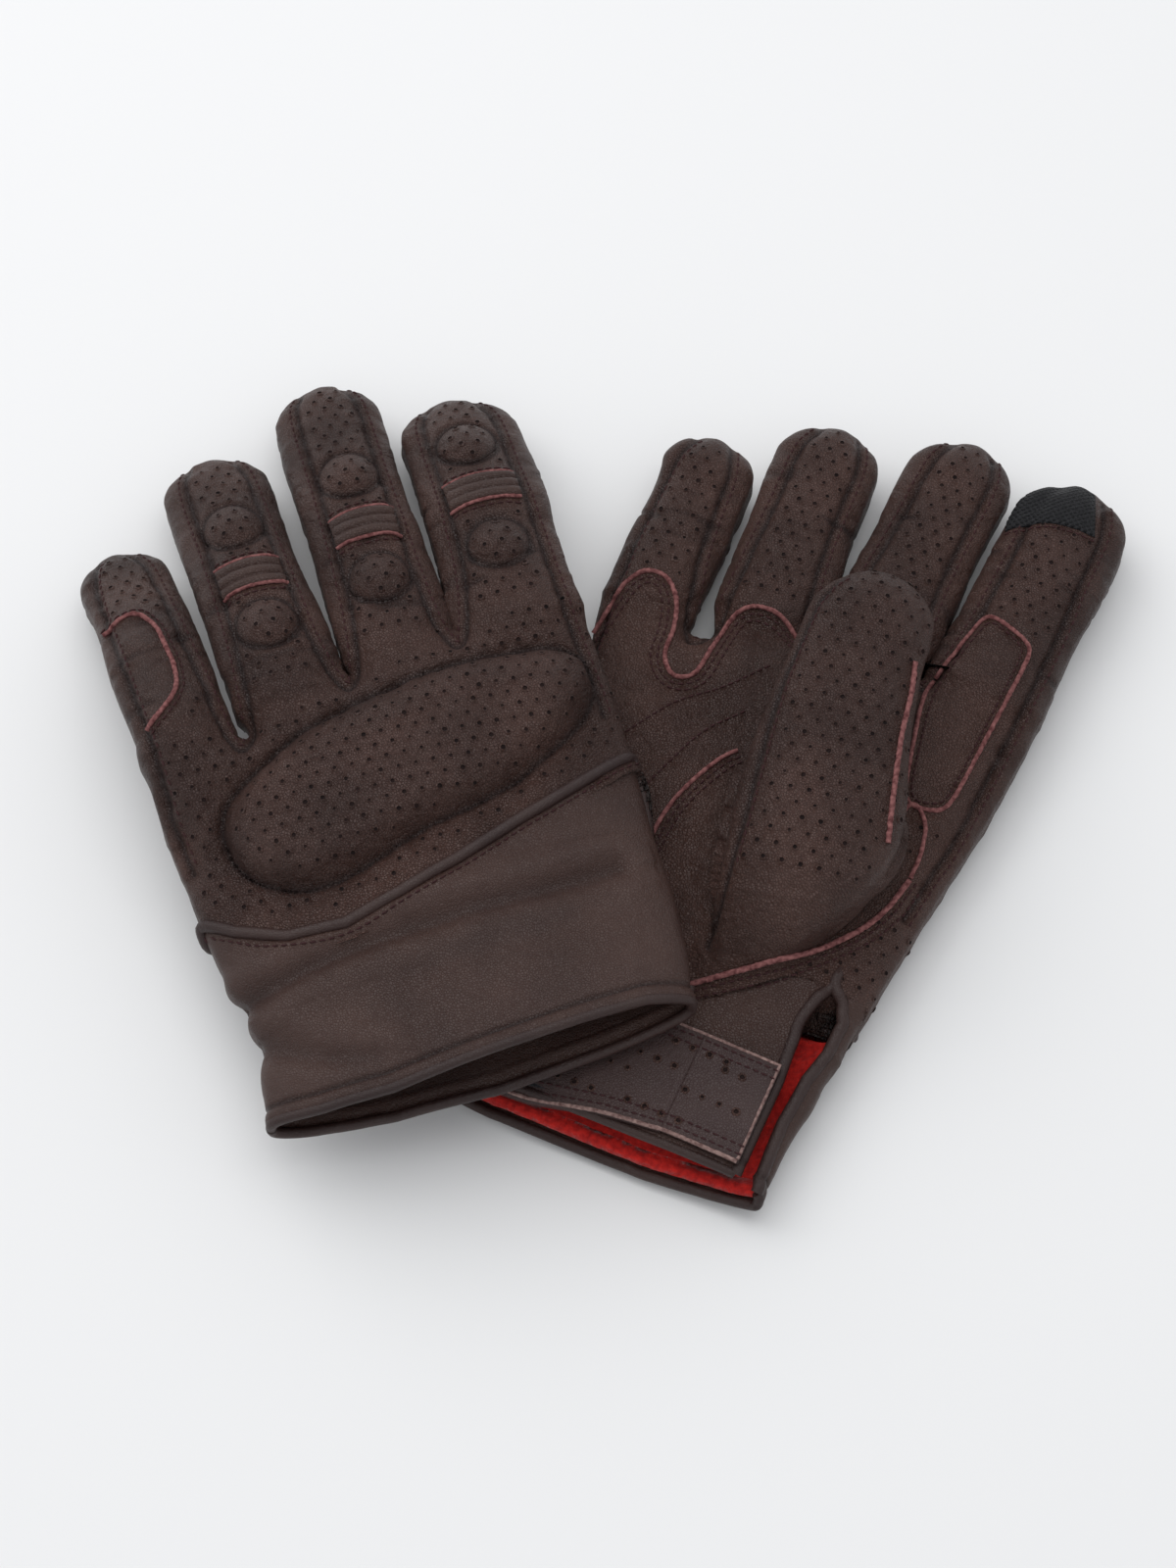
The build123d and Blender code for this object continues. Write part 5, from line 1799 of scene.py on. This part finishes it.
# %% [markdown]
# ## Piping, bindings and the little finger's panel
# A leather-covered cord runs round the wrist where the hand meets the cuff, and a thin strip binds
# the hem and the lips of the slit. These are cords too, drawn along the seam or along the cuff's rim.

# %% Piping and stitched seams
for glove in GLOVES:
    wrist = [(glove.name, "hand"), (glove.name, "cuff"), (glove.name, "guard")]
    line = spline(BACK_SEAM[glove.name], 200)
    if glove is RIGHT:
        cord(glove, line, BINDING, 1.5, 0.0, "back", wrist, 0.1, "piping_back", "piping", 14)
    stitch(glove, beside(line, -3.2), "back", 2.3, wrist)
cord(RIGHT, spline(PALM_SEAM["right"][:3], 100), BINDING, 1.4, 0.0, "palm", heel_keys, 0.1, "piping_palm", "piping", 10)
S_EDGE = spline([(-66, 138), (-61, 140), (-56.4, 140.2), (-52.6, 134), (-51.0, 126), (-50, 119.7), (-50.5, 112),
                 (-54.2, 106.4), (-59.6, 102)], 120)
cord(LEFT, S_EDGE, RAW, 0.65, 0.7, "back", None, 0.25, "little_edge", calm=2)
stitch(LEFT, beside(S_EDGE, 1.8), "back", 2.2)
for glove in GLOVES:
    for side in ("back", "palm"):
        keys = [k for k in grounds if k[0] == glove.name and k[-1] not in ("thumb", "cuff")]
        for line in finger_seams(glove):
            stitch(glove, beside(line, 1.7), side, 2.4, keys, 0.0)
print("stitch groups", len(store["stitches"]))


# %% Bindings on the rims of the cuffs
def rim_cord(name, glove, path, radius, closed=False):
    count = len(path)
    edges = [(i, i + 1) for i in range(count - 1)] + ([(count - 1, 0)] if closed else [])
    values = {"Radius": radius * MM, "Fuzz": 0.0, "Sides": 10, "Material": BINDING}
    piece = run_tree(name, glove, path, TREES["cord"], values, edges)
    bends[glove.name, "hand"].apply(piece)
    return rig.slot(piece, "leather")


for glove in GLOVES:
    under = glove.cuff_grid - glove.cuff_normals * 0.8
    if glove is LEFT:
        rim_cord("left_hem_binding", glove, under[-1], 1.35, True)
        wrist_ring = glove.cuff_grid[1] + glove.cuff_normals[1] * 0.3
        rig.slot(rim_cord("left_wrist_piping", glove, wrist_ring, 1.6, True), "piping")
    else:
        loop = np.vstack([under[::-1, 0], under[1:, -1]])
        rim_cord("right_slit_binding", glove, loop, 1.6)
        rim_cord("right_hem_binding", glove, under[-1], 1.35)
made["right_wrist_piping"] = made["right_hand_piping_back_1"]
print("bindings done")

# %% [markdown]
# ## Perforations
# Punched holes stand in staggered rows about four millimetres apart, on the finger panels, the guard
# and the thumb, and stay clear of seams, patches and ribs. One lattice is laid along each panel.

# %% Where the holes go
def lattice(low, high, pitch=4.3):
    rows = []
    for k, y in enumerate(np.arange(low[1], high[1], pitch * 0.82)):
        x = np.arange(low[0] + (k % 2) * pitch / 2, high[0], pitch)
        rows.append(np.column_stack([x, np.full(len(x), y)]))
    return np.vstack(rows)


def finger_holes(glove, name, side):
    c = glove.chain[name]
    q = lattice((-0.52 * c["half"], -12), (0.52 * c["half"] + 0.1, c["reach"] - 3.5))
    flat = c["knuckle"] + q[:, 1:] * c["along"] + q[:, :1] * c["across"]
    fine = q[:, 1] > -6
    if side == "back":
        for other, part, centre in pad_places(glove):
            if other == name:
                r = np.linalg.norm(flat - centre, axis=1)
                fine &= (r < PAD_RADIUS - 1.4) | (r > PAD_RADIUS + 1.8)
        if name != "little":
            fine &= np.abs(q[:, 1] - rib_at[glove.name, name]) > 8.2
        elif glove is LEFT:
            past_edge = flat[:, 0] > np.interp(flat[:, 1], [102, 112, 120, 140], [-56, -47, -46, -50])
            fine &= (gap_to(flat, S_EDGE) > 4.2) & ((flat[:, 1] > 142) | past_edge)
    else:
        if glove is RIGHT:
            fine &= ~inside(flat, PALM_PATCH + [(6, 60), (-60, 60)]) & (gap_to(flat, top_edge) > 2.2)
            fine &= ~inside(flat, INDEX_PATCH) & (gap_to(flat, INDEX_PATCH) > 2.2)
        if name == "index":
            fine &= q[:, 1] < c["reach"] - 17
    return flat[fine]


for glove in GLOVES:
    for side in ("back", "palm"):
        keys = [k for k in grounds if k[0] == glove.name and k[-1] not in ("thumb", "cuff") and "strap" not in k]
        lines = seams[glove.name, side]
        found = [finger_holes(glove, name, side) for name in FINGERS]
        flat = lattice((-58, 46), (58, 128))
        if side == "back":
            above = flat[:, 1] > np.interp(flat[:, 0], *np.array(BACK_SEAM[glove.name], float).T) + 4.5
            roots = flat[:, 1] < np.interp(flat[:, 0], *glove.crotches.T) - 2
            found.append(flat[above & roots])
        elif glove is RIGHT:
            x, y = flat.T
            thumb_side = (x > 42) & (y > np.interp(x, [12, 27, 38, 47, 60], [48, 59, 73, 96, 108])) & (y < 108)
            heel = ((x > 16) & (y < np.interp(x, [12, 27, 38, 47], [40, 49, 62, 84]))
                    & (y > np.interp(x, [12, 60], [46, 52])))
            found.append(flat[thumb_side | heel])
        flat = np.vstack(found)
        flat = flat[nearest(flat, lines) > 2.4]
        add_points("holes", glove, flat, side, keys)
line = RIGHT.thumb_path
way = line[-1, :2] - line[4, :2]
way /= np.linalg.norm(way)
q = lattice((-22, -20), (22, 120), 4.6)
flat = line[4, :2] + q[:, 1:] * way + q[:, :1] * (way[1], -way[0])
flat = flat[(np.interp(flat[:, 1], THUMB_SEAM[::-1, 1], THUMB_SEAM[::-1, 0]) < flat[:, 0] - 2.6) | (flat[:, 0] < 0)]
above = flat[:, 1] > np.interp(flat[:, 0], THUMB_BASE[:, 0], THUMB_BASE[:, 1]) + 5
flat = flat[above & (nearest(flat, [THUMB_SEAM, THUMB_BASE]) > 2.6)]
add_points("holes", RIGHT, flat, "palm", thumb_only)
print("hole groups", len(store["holes"]), "holes", sum(len(d[0]) for v in store["holes"].values() for d in v))

# %% Growing the holes and stitches, one mesh for each part
GROWN = {"holes": {"Radius": 0.00050, "Rim": 0.00022, "Leather": LEATHER, "Pit": HOLE_SHADE},
         "stitches": {"Length": 0.00185, "Thickness": 0.0006, "Thread": THREAD}}
for kind, values in GROWN.items():
    for key, data in store[kind].items():
        spots, facing, along = (np.vstack(column) for column in zip(*data))
        along = along / np.maximum(np.linalg.norm(along, axis=1), 1e-9)[:, None]
        glove = grounds[key][0]
        lifted = spots + facing * (0.06 if kind == "holes" else 0.0)
        piece = run_tree("_".join(key) + "_" + kind, glove, lifted, TREES[kind], values, facing=facing, along=along)
        bends[key].apply(piece)
        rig.slot(piece, "leather")
print("pieces", len(made))

# %% [markdown]
# ## Standing in for the CAD solids
# Every soft solid of the CAD model is hidden and one of these pieces stands for it.

# %% Which piece stands for which solid
for glove in GLOVES:
    g = glove.name
    stands = {"hand_leather": ["hand_back", "hand_palm", "palm_patches"], "guard_shell": ["knuckle_guard"],
              "cuff_leather": ["cuff"], "cuff_fleece": ["lining"], "wrist_piping": ["piping"],
              "thumb_leather": ["thumb"], "touch_tip_cloth": ["touch_tip"]}
    for name in FINGERS:
        for part in ("base", "tip"):
            stands[f"{name}_finger_{part}"] = [f"{name}_{part}"]
            if name != "little":
                stands[f"{name}_{part}_pad_dome"] = [f"{name}_{part}_pad"]
        if name != "little":
            stands[f"{name}_rib_panel"] = [f"{name}_ribs"]
    stands["little_finger_base"].append("little_panel")
    if glove is RIGHT:
        stands.update({"strap_anchor_leather": ["strap_anchor"], "strap_tab_leather": ["strap_tab"],
                       "loop_patch_tape": ["loop_patch"], "hook_patch_tape": ["hook_patch"]})
    else:
        stands.update({"strap_leather": ["strap"], "strap_fastener_tape": ["strap_fastener"]})
    for piece, nodes in stands.items():
        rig.replaces(made[f"{g}_{piece}"], *[f"{g}_{node}" for node in nodes])

# %% Cut sizes of the sheets
def cut_size(grid, closed=False):
    """Mean length round a grid and down it, in metres, measured on the laid sheet."""
    ring = np.concatenate([grid, grid[:, :1]], axis=1) if closed else grid
    round_it = np.linalg.norm(np.diff(ring, axis=1), axis=2).sum(axis=1).mean()
    down = np.linalg.norm(np.diff(grid, axis=0), axis=2).sum(axis=0).mean()
    return round(float(round_it) * MM, 4), round(float(down) * MM, 4)


def declare(name, grid, rests_on, held="laid", closed=False):
    size = cut_size(grid, closed)
    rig.sheet(made[name], flat=size, held=held, rests_on=[made[other].name for other in rests_on])
    print("sheet", name, [round(v * 1000, 1) for v in size], "mm")


for glove in GLOVES:
    g, closed = glove.name, glove is LEFT
    rows = lining_rows(glove, glove.cuff_grid)
    declare(g + "_cuff_leather", glove.cuff_grid, [g + "_hand_leather"], closed=closed)
    declare(g + "_cuff_fleece", glove.cuff_grid[rows], [g + "_cuff_leather"], closed=closed)
for name, (sheet_grid, under) in sheet_grids.items():
    declare(name, sheet_grid, under)
still = [name for name, solid in frame["nodes"].items() if not solid.hide_render]
print("CAD solids still shown:", still)

# %% [markdown]
# ## Table, light and camera
# A pale, even table and a large soft light from the upper left give the weak blue-grey shadows of a
# light tent. The camera stands a little under a metre away and looks down at about sixty degrees.

# %% Table
def table():
    mesh = bpy.data.meshes.new("table")
    far = 3.0
    mesh.from_pydata([(-far, -far, 0), (far, -far, 0), (far, far, 0), (-far, far, 0)], [], [(0, 1, 2, 3)])
    piece = bpy.data.objects.new("table", mesh)
    bpy.context.scene.collection.objects.link(piece)
    paint = bpy.data.materials.new("table_white")
    paint.use_nodes = True
    shader = paint.node_tree.nodes["Principled BSDF"]
    shader.inputs["Base Color"].default_value = (0.82, 0.82, 0.82, 1)
    shader.inputs["Roughness"].default_value = 0.9
    shader.inputs["Specular IOR Level"].default_value = 0.1
    mesh.materials.append(paint)
    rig.stage(piece)


table()

# %% Light
def soft_light(name, place, size, power, colour=(1, 1, 1)):
    data = bpy.data.lights.new(name, "AREA")
    data.shape, data.size, data.energy, data.color = "SQUARE", size, power, colour
    lamp = bpy.data.objects.new(name, data)
    bpy.context.scene.collection.objects.link(lamp)
    lamp.location = place
    lamp.rotation_euler = (-Vector(place)).to_track_quat("-Z", "Y").to_euler()


world = bpy.data.worlds.new("tent")
world.use_nodes = True
world.node_tree.nodes["Background"].inputs["Color"].default_value = (0.96, 0.975, 1.0, 1)
world.node_tree.nodes["Background"].inputs["Strength"].default_value = 0.70
bpy.context.scene.world = world
soft_light("key", (-0.85, 0.70, 1.15), 1.5, 10.0)
soft_light("top", (0.15, 0.1, 1.7), 1.2, 6.5)
bpy.context.scene.view_settings.view_transform = "Standard"

# %% Camera
data = bpy.data.cameras.new("camera")
data.lens, data.sensor_height, data.sensor_fit = 85, 36, "VERTICAL"
camera = bpy.data.objects.new("camera", data)
bpy.context.scene.collection.objects.link(camera)
LOOK_DOWN, FAR = math.radians(62), 0.944
target = Vector((-0.00407, 0.00293, 0.0))
camera.location = target + Vector((0, -math.cos(LOOK_DOWN), math.sin(LOOK_DOWN))) * FAR
camera.rotation_euler = (math.pi / 2 - LOOK_DOWN, 0, 0)
bpy.context.scene.camera = camera

# %% Sizes, then finish
with open("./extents.json", "w") as out:
    json.dump({"cad": [list(map(float, v)) for v in cad_box], "visual": [list(map(float, v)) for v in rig.bounds()]}, out)
print("size", json.load(open("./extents.json")))
